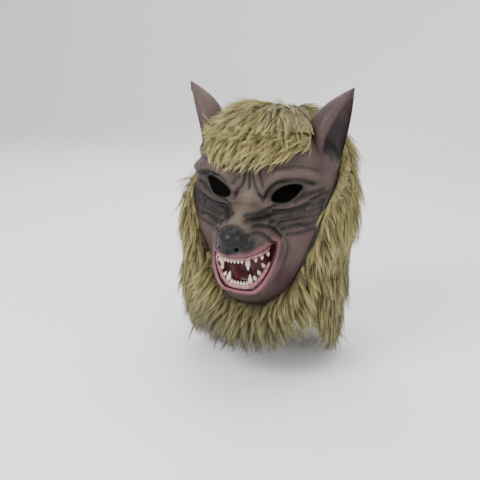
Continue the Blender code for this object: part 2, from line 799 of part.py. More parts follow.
def make_beard():
    """The fur under the chin, from jaw to jaw, hanging in locks."""
    count = BEARD_LOCKS * COLUMNS_PER_LOCK
    sections = []
    for column in range(count + 1):
        angle = BEARD_HALF_ANGLE * (2 * column / count - 1)
        top = face_end(max(abs(angle) - LAP / 6, 0)) + 3 * SEAT_GAP
        tip = HOOD_DROP + BEARD_LENGTH * read_round(BEARD_ROUND, angle, 1)
        tip += LOCK_TIP * 0.7 * lock_ridge(column, 1)
        hem = min(HOOD_DROP - 2 * SEAT_GAP, tip - LOCK_TIP)
        outside = []
        for share, puff in BEARD_SECTIONS:
            drop = top + (tip - top) * share
            root = raked_radius(angle, drop)
            ripple = shingle(column, share, 2)
            outside.append(place(angle, root + BEARD_PILE * puff * ripple, drop))
        inside = []
        for share in np.linspace(1, 0, 5):
            drop = top + (hem - top) * share
            inside.append(place(angle, raked_radius(angle, drop) - FACE_WALL + 2 * SEAT_GAP, drop))
        sections.append(outside + inside)
    return add_object("beard_fur", loft_mesh("beard_fur", sections), FUR, PARTS)


def make_forelock():
    """The fringe of fur that hangs from the crown over the forehead, between the ears."""
    count = FORELOCK_LOCKS * COLUMNS_PER_LOCK
    sections = []
    for column in range(count + 1):
        angle = FORELOCK_HALF_ANGLE * (2 * column / count - 1)
        side = abs(angle) / FORELOCK_HALF_ANGLE
        ridge = lock_ridge(column, 0)
        top = FACE_TOP + 0.5 * SEAT_GAP
        tip = top + FORELOCK_LENGTH * (1 - 0.55 * side**1.6) * (0.72 + 0.28 * ridge)
        inside, outside = [], []
        for share in np.linspace(0, 1, 5):
            drop = top + (tip - top) * share
            root = float(face_radius(angle, drop)) + SEAT_GAP * (2 + 5 * share)
            outer = max(pelt_level(angle, CROWN_RISE - drop), root + FORELOCK_LEAST_PILE)
            full = (1 - 0.78 * share**1.5) * (0.80 + 0.20 * ridge)
            inside.append(place(angle, root, drop))
            outside.append(place(angle, root + (outer - root) * full, drop))
        sections.append(outside + inside[::-1])
    forelock = add_object("forelock_fur", loft_mesh("forelock_fur", sections), FUR, PARTS)
    for side in (1, -1):
        boolean(forelock, EAR_ROOMS[side], "DIFFERENCE")
    return forelock


def make_lining():
    """The dark pocket behind the lips: it fits inside the mouth's cut edge and is closed at its back."""
    outline = mouth_outline(1.5 * SEAT_GAP)
    middle = np.mean(np.array(outline), axis=0)
    rings = []
    for depth, share in LINING_SECTIONS:
        ring = []
        for angle, drop in outline:
            radius = float(face_radius(angle, drop)) * (1 - MOUTH_DEPTH * depth)
            angle = middle[0] + (angle - middle[0]) * share
            drop = middle[1] + (drop - middle[1]) * share
            ring.append(place(angle, radius, drop))
        rings.append(ring)
    centre = sum(rings[-1], Vector()) / len(outline)
    rings.append([centre] * len(outline))
    lining = add_object("mouth_lining", grid_mesh("mouth_lining", rings, around=True), LINING, PARTS)
    solidify(lining, LINING_WALL)
    return lining


def gum_path(upper):
    """The line of a gum, inside the lining, as (angle, drop) from the mask's right to its left."""
    inset = LINING_WALL + GUM_RADIUS + 3 * SEAT_GAP
    half = mouth_outline(inset)[: len(MOUTH_OUTLINE)]
    half = half[:MOUTH_CORNER] if upper else half[: MOUTH_CORNER + 1 : -1]
    return [(-a, d) for a, d in half[:0:-1]] + half


def gum_point(path, angle, upper):
    angles, drops = np.array(path).T
    drop = float(np.interp(angle, angles, drops))
    depth = UPPER_GUM_DEPTH if upper else LOWER_GUM_DEPTH
    return place(angle, float(face_radius(angle, drop)) * (1 - depth), drop)


def ring(centre, along, radius, count, flat=1.0):
    """Points round a line, `flat` being the share of the radius from front to back."""
    front = Vector((centre.x, centre.y, 0)).normalized()
    side = along.cross(front).normalized()
    front = side.cross(along).normalized()
    turns = [2 * pi * k / count for k in range(count)]
    return [centre + radius * (cos(t) * side + flat * sin(t) * front) for t in turns]


def make_gum(name, upper):
    path = gum_path(upper)
    angles = np.linspace(-GUM_HALF_ANGLE, GUM_HALF_ANGLE, GUM_RINGS)
    centres = [gum_point(path, angle, upper) for angle in angles]
    sections = []
    for k, centre in enumerate(centres):
        along = centres[min(k + 1, len(centres) - 1)] - centres[max(k - 1, 0)]
        end = 0.8 if k in (0, len(centres) - 1) else 1.0
        sections.append(ring(centre, along, GUM_RADIUS * end, 6))
    return add_object(name, loft_mesh(name, sections), GUM, PARTS)


def make_tooth(name, angle, upper, radius, length, sides, flat=1.0, upright=1.0):
    """A tooth on its gum, between square (`upright` 0) and upright: rings that narrow to the tip."""
    path = gum_path(upper)
    gum = gum_point(path, angle, upper)
    along = gum_point(path, angle + LAP / 4, upper) - gum_point(path, angle - LAP / 4, upper)
    back = -Vector((gum.x, gum.y, 0)).normalized()
    grow = back.cross(along).normalized()
    grow *= -1 if (grow.z > 0) == upper else 1
    square = grow
    grow = (square + upright * Vector((0, 0, -1 if upper else 1))).normalized()
    foot = gum + square * (1.03 * GUM_RADIUS + SEAT_GAP + radius * sin(square.angle(grow)))
    sections = []
    for share, width in TOOTH_RINGS:
        centre = foot + grow * length * share
        sections.append(ring(centre, grow, radius * width, sides, flat))
    return add_object(name, loft_mesh(name, sections), TOOTH, PARTS)


def make_teeth():
    """Two rows of teeth: incisors in front, a fang at each side of them, then the side teeth."""
    for jaw, upper, fang_length in (("upper", True, UPPER_FANG_LENGTH), ("lower", False, LOWER_FANG_LENGTH)):
        make_gum(f"{jaw}_gum", upper)
        reach = abs(gum_point(gum_path(upper), 0.0, upper).y)
        pitch = (INCISOR_WIDTH + SEAT_GAP) / reach
        fang_angle = pitch * INCISORS_PER_SIDE + (FANG_RADIUS + TOOTH_GAP) / reach
        for side, word in ((1, "left"), (-1, "right")):
            for k in range(INCISORS_PER_SIDE):
                name = f"{jaw}_incisor_{word}_{k + 1}"
                angle = side * pitch * (k + 0.5)
                make_tooth(name, angle, upper, INCISOR_WIDTH / 2, INCISOR_LENGTH, 5, 0.7)
            fang = f"{jaw}_fang_{word}"
            make_tooth(fang, side * fang_angle, upper, FANG_RADIUS, fang_length, 8, 1.0, 4.0)
            for k in range(SIDE_TEETH):
                name = f"{jaw}_side_tooth_{word}_{k + 1}"
                share = (k + 1.2) / (SIDE_TEETH + 1)
                angle = side * (fang_angle + (GUM_HALF_ANGLE - fang_angle) * share)
                size = 1 - 0.25 * k
                make_tooth(name, angle, upper, SIDE_TOOTH_RADIUS * size, SIDE_TOOTH_LENGTH * size, 5)


clear_scene()
PARTS = new_collection("werewolf_mask")
CUTTERS = new_collection("cutters")
RUBBER = material("grey brown rubber", (0.15, 0.12, 0.11), 0.55)
LINING = material("dark red rubber", (0.10, 0.015, 0.02), 0.5)
GUM = material("pink gum", (0.42, 0.18, 0.22), 0.4)
TOOTH = material("ivory", (0.62, 0.56, 0.50), 0.35)
KNIT = material("dark knit", (0.10, 0.09, 0.07), 0.9)
FUR = material("olive blond fur", (0.42, 0.36, 0.20), 0.85)

EARS = {side: make_ear(side) for side in (1, -1)}
EAR_ROOMS = {side: ear_room(side) for side in (1, -1)}
make_face()
make_hood()
make_mane()
make_forelock()
make_beard()
make_lining()
make_teeth()
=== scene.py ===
# %% [markdown]
# # A werewolf head mask
# The real mask is one moulded rubber face with two ears, glued to the front of a knitted hood. Its
# mouth stands open over two rows of painted teeth, and long fur covers the hood, the brow and the chin.
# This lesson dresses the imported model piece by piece: a camera and a studio first, then the rubber, the
# mouth, the knit and the fur.

from math import atan, cos, pi, radians, sin

import bmesh
import bpy
import numpy as np
from mathutils import Matrix, Quaternion, Vector


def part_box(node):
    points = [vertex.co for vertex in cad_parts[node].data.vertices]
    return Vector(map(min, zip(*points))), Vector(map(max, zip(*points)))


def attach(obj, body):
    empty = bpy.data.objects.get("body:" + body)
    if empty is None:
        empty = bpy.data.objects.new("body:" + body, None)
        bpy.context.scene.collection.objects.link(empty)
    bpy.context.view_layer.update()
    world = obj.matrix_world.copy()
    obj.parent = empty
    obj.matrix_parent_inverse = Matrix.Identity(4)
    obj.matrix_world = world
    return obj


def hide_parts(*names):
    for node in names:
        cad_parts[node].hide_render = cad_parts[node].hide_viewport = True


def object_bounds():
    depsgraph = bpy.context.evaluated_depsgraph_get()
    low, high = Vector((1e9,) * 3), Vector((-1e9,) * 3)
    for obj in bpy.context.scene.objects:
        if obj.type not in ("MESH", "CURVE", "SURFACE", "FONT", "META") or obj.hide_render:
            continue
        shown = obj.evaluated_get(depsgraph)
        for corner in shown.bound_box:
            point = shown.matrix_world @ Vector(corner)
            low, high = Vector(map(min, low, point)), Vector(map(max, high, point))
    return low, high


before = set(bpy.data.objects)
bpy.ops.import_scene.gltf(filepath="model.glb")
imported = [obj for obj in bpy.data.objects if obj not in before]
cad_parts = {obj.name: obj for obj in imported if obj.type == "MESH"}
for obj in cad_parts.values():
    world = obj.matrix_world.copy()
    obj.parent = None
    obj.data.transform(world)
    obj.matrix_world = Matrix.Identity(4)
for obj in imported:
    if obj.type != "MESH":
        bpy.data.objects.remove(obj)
CAD_BOX = [list(corner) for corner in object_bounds()]
print("frame", [round(v, 4) for v in CAD_BOX[0] + CAD_BOX[1]])

# %% [markdown]
# The camera is placed by the angles from which the mask is seen: a little to its left and above. A camera
# could be aimed with a constraint, but a matrix of its three axes says just where the picture's centre is.

# %% Camera
PICTURE = 480
VIEW_AZIMUTH = radians(22)
VIEW_ELEVATION = radians(15)
VIEW_DISTANCE = 1.0
VIEW_TARGET = Vector((0, 0, -0.1236))
TARGET_PIXEL = (270, 205)
FOCAL_PIXELS = 689.66
SENSOR = 36.0


def make_camera():
    level = cos(VIEW_ELEVATION)
    back = Vector((sin(VIEW_AZIMUTH) * level, -cos(VIEW_AZIMUTH) * level, sin(VIEW_ELEVATION)))
    right = Vector((cos(VIEW_AZIMUTH), sin(VIEW_AZIMUTH), 0))
    place = VIEW_TARGET + back * VIEW_DISTANCE
    yaw = atan((TARGET_PIXEL[0] - PICTURE / 2) / FOCAL_PIXELS)
    pitch = atan((PICTURE / 2 - TARGET_PIXEL[1]) / FOCAL_PIXELS * cos(yaw))
    back.rotate(Quaternion(right, -pitch))
    turn = Quaternion((0, 0, 1), yaw)
    back.rotate(turn)
    right.rotate(turn)
    axes = Matrix((right, back.cross(right), back)).transposed().to_4x4()
    axes.translation = place
    data = bpy.data.cameras.new("camera")
    data.sensor_width = SENSOR
    data.lens = FOCAL_PIXELS * SENSOR / PICTURE
    camera = bpy.data.objects.new("camera", data)
    camera.matrix_world = axes
    bpy.context.scene.collection.objects.link(camera)
    bpy.context.scene.camera = camera
    return camera


print("camera at", [round(v, 3) for v in make_camera().matrix_world.translation])

# %% [markdown]
# A pale floor that runs up into a wall gives no horizon, and big area lights give the soft shade of a
# light tent. The key light is above and in front, and a weaker one fills the far side.

# %% Studio
LAMPS = (
    # name, place, size, watts
    ("key", (-0.75, -1.5, 1.15), 1.1, 46),
    ("fill", (1.6, -1.0, 0.5), 1.2, 20),
    ("top", (0.1, 0.3, 1.7), 1.2, 22),
    ("back", (-0.9, 1.2, 0.9), 0.9, 12),
)
FLOOR_GAP = 0.003


def plain_material(name, colour, roughness):
    finish = bpy.data.materials.new(name)
    finish.use_nodes = True
    shader = finish.node_tree.nodes["Principled BSDF"]
    shader.inputs["Base Color"].default_value = (*colour, 1)
    shader.inputs["Roughness"].default_value = roughness
    return finish


def make_studio():
    low = CAD_BOX[0][2] - FLOOR_GAP
    profile = [(-4.0, low), (1.6, low)]
    profile += [(1.6 + 0.9 * sin(t), low + 0.9 - 0.9 * cos(t)) for t in np.linspace(0.1, pi / 2, 12)]
    profile += [(2.5, low + 4.0)]
    points = [(x, y, z) for y, z in profile for x in (-5.0, 5.0)]
    faces = [(2 * k, 2 * k + 1, 2 * k + 3, 2 * k + 2) for k in range(len(profile) - 1)]
    mesh = bpy.data.meshes.new("floor")
    mesh.from_pydata(points, [], faces)
    mesh.shade_smooth()
    mesh.materials.append(plain_material("studio_paper", (0.86, 0.86, 0.87), 0.9))
    floor = bpy.data.objects.new("floor", mesh)
    bpy.context.scene.collection.objects.link(floor)
    for name, place, size, watts in LAMPS:
        data = bpy.data.lights.new(name, "AREA")
        data.shape = "DISK"
        data.size = size
        data.energy = watts
        lamp = bpy.data.objects.new(name, data)
        lamp.location = place
        lamp.rotation_euler = (VIEW_TARGET - Vector(place)).to_track_quat("-Z", "Y").to_euler()
        bpy.context.scene.collection.objects.link(lamp)
    world = bpy.context.scene.world or bpy.data.worlds.new("world")
    bpy.context.scene.world = world
    world.use_nodes = True
    sky = world.node_tree.nodes.get("Background") or world.node_tree.nodes.new("ShaderNodeBackground")
    sky.inputs["Color"].default_value = (1, 1, 1, 1)
    sky.inputs["Strength"].default_value = 0.85
    out = world.node_tree.nodes.get("World Output") or world.node_tree.nodes.new("ShaderNodeOutputWorld")
    world.node_tree.links.new(sky.outputs["Background"], out.inputs["Surface"])


make_studio()
print("lamps", len(LAMPS))

# %% [markdown]
# The head under the mask is told as level sections: at each drop below the crown a rounded box with its
# own half-width, front, back and squareness. The same short tables shape the CAD solids, so whatever is
# built on them here lies where those solids lie.

# %% The head's sections
HOOD_DROP = 0.262
HEAD_HALF_WIDTH = 0.104
HEAD_FRONT = 0.072
HEAD_BACK = 0.124
HEM_RAKE = 0.024
FACE_WALL = 0.0020
HOOD_WALL = 0.0020
SEAT_GAP = 0.0004
CROWN_RISE = HOOD_WALL + SEAT_GAP + FACE_WALL

HEAD_SECTIONS = (
    # drop, width, front, back, square, lean
    (0.000, 0.00, 0.00, 0.00, 2.0, 90),
    (0.006, 0.31, 0.31, 0.30, 2.1, 80),
    (0.031, 0.58, 0.58, 0.56, 2.2, 64),
    (0.076, 0.75, 0.79, 0.77, 2.3, 44),
    (0.145, 0.86, 0.90, 0.88, 2.5, 26),
    (0.229, 0.93, 0.96, 0.95, 2.7, 12),
    (0.344, 0.98, 0.96, 0.99, 3.0, 2),
    (0.450, 1.00, 0.98, 1.00, 3.5, 0),
    (0.573, 0.97, 1.00, 0.96, 3.3, -4),
    (0.706, 0.83, 0.98, 0.88, 2.8, -8),
    (0.840, 0.73, 0.92, 0.81, 2.4, -8),
    (0.935, 0.70, 0.88, 0.78, 2.3, -8),
    (1.000, 0.70, 0.86, 0.78, 2.3, -8),
)


def smooth_rows(rows, steps=20):
    """Each row of a table with `steps` rows read from a smooth curve between it and the next."""
    table = np.array(rows, float)
    table = np.vstack([2 * table[0] - table[1], table, 2 * table[-1] - table[-2]])
    found = []
    for a, b, c, d in zip(table[:-3], table[1:-2], table[2:-1], table[3:]):
        for t in np.arange(steps) / steps:
            found.append(b + 0.5 * t * (c - a + t * (2 * a - 5 * b + 4 * c - d + t * (3 * (b - c) + d - a))))
    return np.array(found + [table[-2]])


def read(table, drop, column):
    return np.interp(drop / HOOD_DROP, table[:, 0], table[:, column])


def rounded_box(angle, side, end, square):
    across, along = np.abs(np.sin(angle)) / side, np.abs(np.cos(angle)) / end
    return (across**square + along**square) ** (-1 / square)


def blend(a, b, reach):
    """The larger of two lengths, eased over `reach` where they are alike."""
    return 0.5 * (a + b + np.sqrt((a - b) ** 2 + reach**2))


HEAD = smooth_rows(HEAD_SECTIONS)


def head_radius(angle, drop):
    side = np.maximum(read(HEAD, drop, 1) * HEAD_HALF_WIDTH, 1e-5)
    front = np.maximum(read(HEAD, drop, 2) * HEAD_FRONT, 1e-5)
    back = np.maximum(read(HEAD, drop, 3) * HEAD_BACK, 1e-5)
    return rounded_box(angle, side, np.where(np.cos(angle) > 0, front, back), read(HEAD, drop, 4))


def place(angle, radius, drop):
    spots = (radius * np.sin(angle), -radius * np.cos(angle), CROWN_RISE - drop)
    return np.stack(np.broadcast_arrays(*spots), -1)


print("head", round(float(head_radius(0, 0.12)) * 1000), "mm to the brow")

# %% [markdown]
# The muzzle is a second stack of sections that is eased into the head, and the nose is a ball eased onto
# its end. Folds are raised or sunk along lines drawn on the skin. A sculptor would press them into clay;
# here each line is a soft ridge or groove whose height falls off with the distance from the line.

# %% The face's forms
MUZZLE_REACH = 0.142
MUZZLE_HALF_WIDTH = 0.060
MUZZLE_EASE = 0.014
NOSE_EASE = 0.004
FACE_HALF_ANGLE = radians(100)
FACE_TOP = 0.014
FACE_BOTTOM = HOOD_DROP - 0.010
LAP = radians(7)
NOSE_CENTRE = 0.119
NOSE_DROP = 0.141
NOSE_SIDE = 0.021
NOSE_FRONT = 0.025
NOSE_TALL = 0.017

MUZZLE_SECTIONS = (
    # drop, reach, width, square
    (0.300, 0.32, 0.10, 2.0),
    (0.362, 0.46, 0.24, 2.2),
    (0.382, 0.53, 0.36, 2.3),
    (0.405, 0.62, 0.46, 2.2),
    (0.427, 0.70, 0.55, 2.1),
    (0.450, 0.79, 0.63, 2.0),
    (0.473, 0.865, 0.70, 2.0),
    (0.504, 0.93, 0.78, 2.0),
    (0.542, 0.975, 0.83, 2.0),
    (0.580, 0.995, 0.85, 2.0),
    (0.611, 0.985, 0.88, 2.0),
    (0.641, 0.93, 0.91, 2.1),
    (0.672, 0.875, 0.94, 2.2),
    (0.725, 0.80, 0.98, 2.4),
    (0.782, 0.76, 0.98, 2.5),
    (0.832, 0.74, 0.95, 2.5),
    (0.878, 0.70, 0.88, 2.4),
    (0.916, 0.64, 0.79, 2.3),
    (0.947, 0.55, 0.70, 2.2),
    (0.975, 0.45, 0.62, 2.1),
)
FACE_EDGE = (
    # drop, angle
    (0.00, 1.00),
    (0.16, 1.00),
    (0.25, 0.97),
    (0.32, 0.82),
    (0.38, 0.67),
    (0.46, 0.60),
    (0.60, 0.57),
    (0.70, 0.54),
    (0.80, 0.49),
    (0.87, 0.42),
    (0.92, 0.33),
    (0.95, 0.22),
    (0.962, 0.12),
)
FACE_FOLDS = (
    # rise, half-width, line of angle in degrees and drop as a share of the hood's
    (0.0095, 0.0095, ((16, 0.335), (22, 0.285), (34, 0.245), (48, 0.240), (62, 0.262))),
    (0.0035, 0.0060, ((9, 0.225), (7, 0.290), (10, 0.345))),
    (-0.0060, 0.0120, ((26, 0.368), (38, 0.345), (50, 0.315))),
    (0.0035, 0.0060, ((24, 0.408), (36, 0.412), (48, 0.388), (60, 0.345))),
    (-0.0040, 0.0060, ((14, 0.450), (26, 0.440), (40, 0.425), (54, 0.395), (66, 0.372))),
    (0.0040, 0.0065, ((22, 0.480), (38, 0.465), (54, 0.435), (64, 0.415))),
    (-0.0035, 0.0060, ((30, 0.515), (44, 0.500), (56, 0.475), (62, 0.470))),
    (0.0045, 0.0065, ((22, 0.548), (31, 0.560), (36, 0.620), (32, 0.700), (24, 0.780), (13, 0.850))),
)
# Finer creases, all sunk, and darkened with wash and painted shade
CREASES = (
    # depth, half-width, line
    (0.0026, 0.0026, ((5, 0.440), (14, 0.441), (24, 0.423), (33, 0.392))),
    (0.0040, 0.0032, ((7, 0.457), (18, 0.461), (30, 0.446), (42, 0.436), (53, 0.410), (66, 0.379))),
    (0.0042, 0.0032, ((24, 0.482), (36, 0.466), (46, 0.447), (56, 0.424), (66, 0.405))),
    (0.0038, 0.0030, ((31, 0.497), (42, 0.478), (52, 0.458), (62, 0.444))),
    (0.0034, 0.0030, ((34, 0.528), (44, 0.515), (54, 0.492), (60, 0.482))),
    (0.0026, 0.0026, ((38, 0.552), (46, 0.545), (54, 0.522), (59, 0.512))),
    (0.0030, 0.0026, ((12, 0.484), (21, 0.497), (28, 0.525), (33, 0.556))),
    (0.0026, 0.0024, ((10, 0.519), (14, 0.514), (20, 0.538), (24, 0.572), (27, 0.596))),
    (0.0028, 0.0026, ((44, 0.384), (52, 0.352), (58, 0.336), (68, 0.328))),
    (0.0026, 0.0024, ((56, 0.372), (64, 0.352), (72, 0.342))),
    (0.0030, 0.0028, ((17, 0.382), (22, 0.330), (31, 0.288), (44, 0.280), (58, 0.296))),
    (0.0026, 0.0022, ((3, 0.205), (4, 0.250), (6, 0.300), (10, 0.340), (15, 0.380))),
    (0.0024, 0.0022, ((0, 0.230), (0, 0.300), (0, 0.330))),
    (0.0020, 0.0020, ((12, 0.235), (13, 0.275), (16, 0.310))),
    (0.0016, 0.0022, ((24, 0.225), (36, 0.208), (50, 0.208), (62, 0.226))),
    (0.0010, 0.0016, ((0, 0.402), (5, 0.398), (10, 0.404))),
    (0.0010, 0.0030, ((30, 0.545), (37, 0.570), (39, 0.620), (37, 0.680))),
    (0.0012, 0.0024, ((0, 0.896), (8, 0.890), (15, 0.868))),
    (0.0018, 0.0012, ((0, 0.588), (0, 0.622))),
)

MUZZLE = smooth_rows(MUZZLE_SECTIONS)


def muzzle_radius(angle, drop):
    reach = read(MUZZLE, drop, 1) * MUZZLE_REACH
    half_width = read(MUZZLE, drop, 2) * MUZZLE_HALF_WIDTH
    return np.where(np.cos(angle) > 0, rounded_box(angle, half_width, reach, read(MUZZLE, drop, 3)), 0)


def nose_radius(angle, drop):
    level = np.clip(1 - ((drop - NOSE_DROP) / NOSE_TALL) ** 2, 0, None)
    along = np.cos(angle) / NOSE_FRONT**2
    size = along * np.cos(angle) + (np.sin(angle) / NOSE_SIDE) ** 2
    root = (along * NOSE_CENTRE) ** 2 - size * ((NOSE_CENTRE / NOSE_FRONT) ** 2 - level)
    return np.where(root > 0, (along * NOSE_CENTRE + np.sqrt(np.maximum(root, 0))) / size, 0)


def line_distance(across, drop, line):
    """Distance from points to a line of (across, drop) corners, all in metres."""
    least = np.full(np.shape(across), np.inf)
    for (a0, d0), (a1, d1) in zip(line[:-1], line[1:]):
        run = (a1 - a0) ** 2 + (d1 - d0) ** 2
        t = np.clip(((across - a0) * (a1 - a0) + (drop - d0) * (d1 - d0)) / run, 0, 1)
        least = np.minimum(least, np.hypot(across - a0 - t * (a1 - a0), drop - d0 - t * (d1 - d0)))
    return least


def skin_line(line, steps=4):
    return [(radians(a) * HEAD_HALF_WIDTH, d * HOOD_DROP) for a, d in smooth_rows(line, steps)]


def edge_angle(drop):
    table = np.array(FACE_EDGE)
    return np.interp(drop / HOOD_DROP, table[:, 0], table[:, 1]) * FACE_HALF_ANGLE


def face_radius(angle, drop):
    """The outer skin of the moulded face, as the CAD solid has it."""
    angle = np.abs(angle)
    radius = blend(head_radius(angle, drop), muzzle_radius(angle, drop), MUZZLE_EASE)
    radius = blend(radius, nose_radius(angle, drop), NOSE_EASE)
    across = angle * HEAD_HALF_WIDTH
    inside_lap = np.clip((edge_angle(drop) - angle) / LAP - 1, 0, 1)
    for rise, half_width, line in FACE_FOLDS:
        fold = rise * np.exp(-((line_distance(across, drop, skin_line(line)) / half_width) ** 2))
        radius = radius + fold * inside_lap
    return radius


print("folds", len(FACE_FOLDS), "creases", len(CREASES))

# %% [markdown]
# The eye holes, the nostrils and the mouth are outlines on the skin, told as angle and drop like all
# else. A boolean cut on a dense mesh leaves slivers, so the holes are opened in the grid itself: faces
# inside an outline go, and the points left along it slide onto it.

# %% Outlines of the holes
NOSTRIL_ANGLE = radians(5.0)
NOSTRIL_BELOW_NOSE = 0.011
NOSTRIL_WIDTH = 0.0052
EYE_ANGLE = radians(38.0)
EYE_DROP = 0.0905
EYE_HALF_ANGLE = radians(13.5)
EYE_HALF_HEIGHT = 0.0105
EYE_SLANT = 0.0085
MOUTH_HALF_ANGLE = radians(29.2)
MOUTH_TOP = 0.151
MOUTH_TALL = 0.0705

MOUTH_OUTLINE = (
    # angle, drop
    (0.00, 0.185),
    (0.27, 0.180),
    (0.45, 0.155),
    (0.62, 0.115),
    (0.80, 0.050),
    (0.94, 0.005),
    (1.00, 0.090),
    (0.97, 0.250),
    (0.87, 0.430),
    (0.75, 0.615),
    (0.58, 0.820),
    (0.38, 0.960),
    (0.17, 0.998),
    (0.00, 1.000),
)


def mouth_outline(inset=0.0, steps=6):
    """The mouth's outline as (angle, drop), moved inwards by `inset` metres."""
    half = smooth_rows(MOUTH_OUTLINE, steps)
    half[0, 0] = half[-1, 0] = 0
    across = half[:, 0] * MOUTH_HALF_ANGLE * HEAD_HALF_WIDTH
    drop = MOUTH_TOP + half[:, 1] * MOUTH_TALL
    loop = np.vstack([np.column_stack([across, drop]), np.column_stack([-across, drop])[-2:0:-1]])
    along = np.roll(loop, -1, axis=0) - np.roll(loop, 1, axis=0)
    along /= np.linalg.norm(along, axis=1)[:, None]
    loop = loop + inset * np.column_stack([-along[:, 1], along[:, 0]])
    return loop / (HEAD_HALF_WIDTH, 1)


def eye_outline(side, count=48):
    turn = 2 * pi * np.arange(count) / count
    tall = np.sin(turn) * (1 - 0.25 * np.cos(turn) ** 2)
    angle = side * (EYE_ANGLE + EYE_HALF_ANGLE * np.cos(turn))
    return np.column_stack([angle, EYE_DROP - EYE_SLANT * np.cos(turn) - EYE_HALF_HEIGHT * tall])


def nostril_outline(side, count=24):
    turn = 2 * pi * np.arange(count) / count
    angle = side * (NOSTRIL_ANGLE + NOSTRIL_WIDTH / 2 / MUZZLE_REACH * np.cos(turn))
    return np.column_stack([angle, NOSE_DROP + NOSTRIL_BELOW_NOSE + NOSTRIL_WIDTH / 2 * np.sin(turn)])


def outline_distance(across, drop, outline, scale=HEAD_HALF_WIDTH):
    """Signed distance to a closed outline in metres, below zero inside it, and the nearest points."""
    loop = outline * (scale, 1)
    ends = np.roll(loop, -1, axis=0)
    least = np.full(across.shape, np.inf)
    near = np.zeros(across.shape + (2,))
    inside = np.zeros(across.shape, bool)
    for (a0, d0), (a1, d1) in zip(loop, ends):
        run = (a1 - a0) ** 2 + (d1 - d0) ** 2
        t = np.clip(((across - a0) * (a1 - a0) + (drop - d0) * (d1 - d0)) / run, 0, 1)
        spot = np.stack([a0 + t * (a1 - a0), d0 + t * (d1 - d0)], -1)
        distance = np.hypot(across - spot[..., 0], drop - spot[..., 1])
        closer = distance < least
        least = np.where(closer, distance, least)
        near[closer] = spot[closer]
        if d0 != d1:
            crossed = ((d0 > drop) != (d1 > drop)) & (across < a0 + (drop - d0) * (a1 - a0) / (d1 - d0))
            inside ^= crossed
    return np.where(inside, -least, least), near / (scale, 1)


print("mouth", len(mouth_outline()), "points round")

# %% [markdown]
# The face is one skin of even thickness. Its outer side is a dense grid over the forms, with the creases
# sunk in, a rolled rim round each eye and a lip round the mouth. Solidify then gives the wall. Each point
# also keeps how much dark wash and painted shade it takes, where the bridge's painted highlight lies, how
# maroon, how pink or how black it is, and the paint reads those marks.

# %% Face skin
SKIN_ROWS = 176
SKIN_COLUMNS = 112
SKIN_SAMPLES = 800
# How much a step forwards counts against a step down when the rows are shared out
SKIN_FORWARD = 0.55
LID_RISE = 0.0016
LIP_RISE = 0.0022
# Crease depth at which the dark wash and painted shade are full
CREASE_DARK = 0.0030


def new_object(name, mesh, finish=None):
    if finish:
        mesh.materials.append(finish)
    mesh.shade_smooth()
    piece = bpy.data.objects.new(name, mesh)
    bpy.context.scene.collection.objects.link(piece)
    return piece


def grid_faces(rows, columns, around=False):
    r, c = np.meshgrid(np.arange(rows - 1), np.arange(columns if around else columns - 1), indexing="ij")
    d = (c + 1) % columns
    up, down = r * columns, (r + 1) * columns
    return np.stack([up + c, up + d, down + d, down + c], -1).reshape(-1, 4)


def mesh_of(name, points, faces, marks=None):
    """A mesh from arrays; `marks` are point attributes, one array of numbers or vectors for each name."""
    mesh = bpy.data.meshes.new(name)
    spots = np.asarray(points).reshape(-1, 3).tolist()
    mesh.from_pydata(spots, [], [tuple(face) for face in np.asarray(faces).tolist()])
    for word, values in (marks or {}).items():
        values = np.asarray(values, float)
        if values.ndim == 1:
            mesh.attributes.new(word, "FLOAT", "POINT").data.foreach_set("value", values)
        else:
            mesh.attributes.new(word, "FLOAT_VECTOR", "POINT").data.foreach_set("vector", values.ravel())
    mesh.validate()
    return mesh


def applied(piece):
    """The piece's mesh with its modifiers worked in."""
    graph = bpy.context.evaluated_depsgraph_get()
    mesh = bpy.data.meshes.new_from_object(piece.evaluated_get(graph))
    piece.modifiers.clear()
    piece.data = mesh
    return piece


def skin_levels():
    drops = np.linspace(FACE_TOP, FACE_BOTTOM, SKIN_SAMPLES)
    reach = face_radius(np.zeros(SKIN_SAMPLES), drops)
    path = np.concatenate([[0], np.cumsum(np.hypot(np.diff(drops), SKIN_FORWARD * np.diff(reach)))])
    return np.interp(np.linspace(0, path[-1], SKIN_ROWS), path, drops)


def ridge(distance, width):
    return np.exp(-((distance / width) ** 2))


def skin_grid():
    shares = np.linspace(-1, 1, 2 * SKIN_COLUMNS + 1)
    shares = shares * (0.62 + 0.38 * shares**2)
    drop = np.repeat(skin_levels()[:, None], len(shares), axis=1)
    angle = edge_angle(drop) * shares
    return angle, drop


def hole_distance(angle, drop, outlines, scale=HEAD_HALF_WIDTH):
    """Distance outside the nearest of some outlines, 0 within them."""
    least = np.minimum.reduce([outline_distance(angle * scale, drop, o, scale)[0] for o in outlines])
    return np.maximum(least, 0)


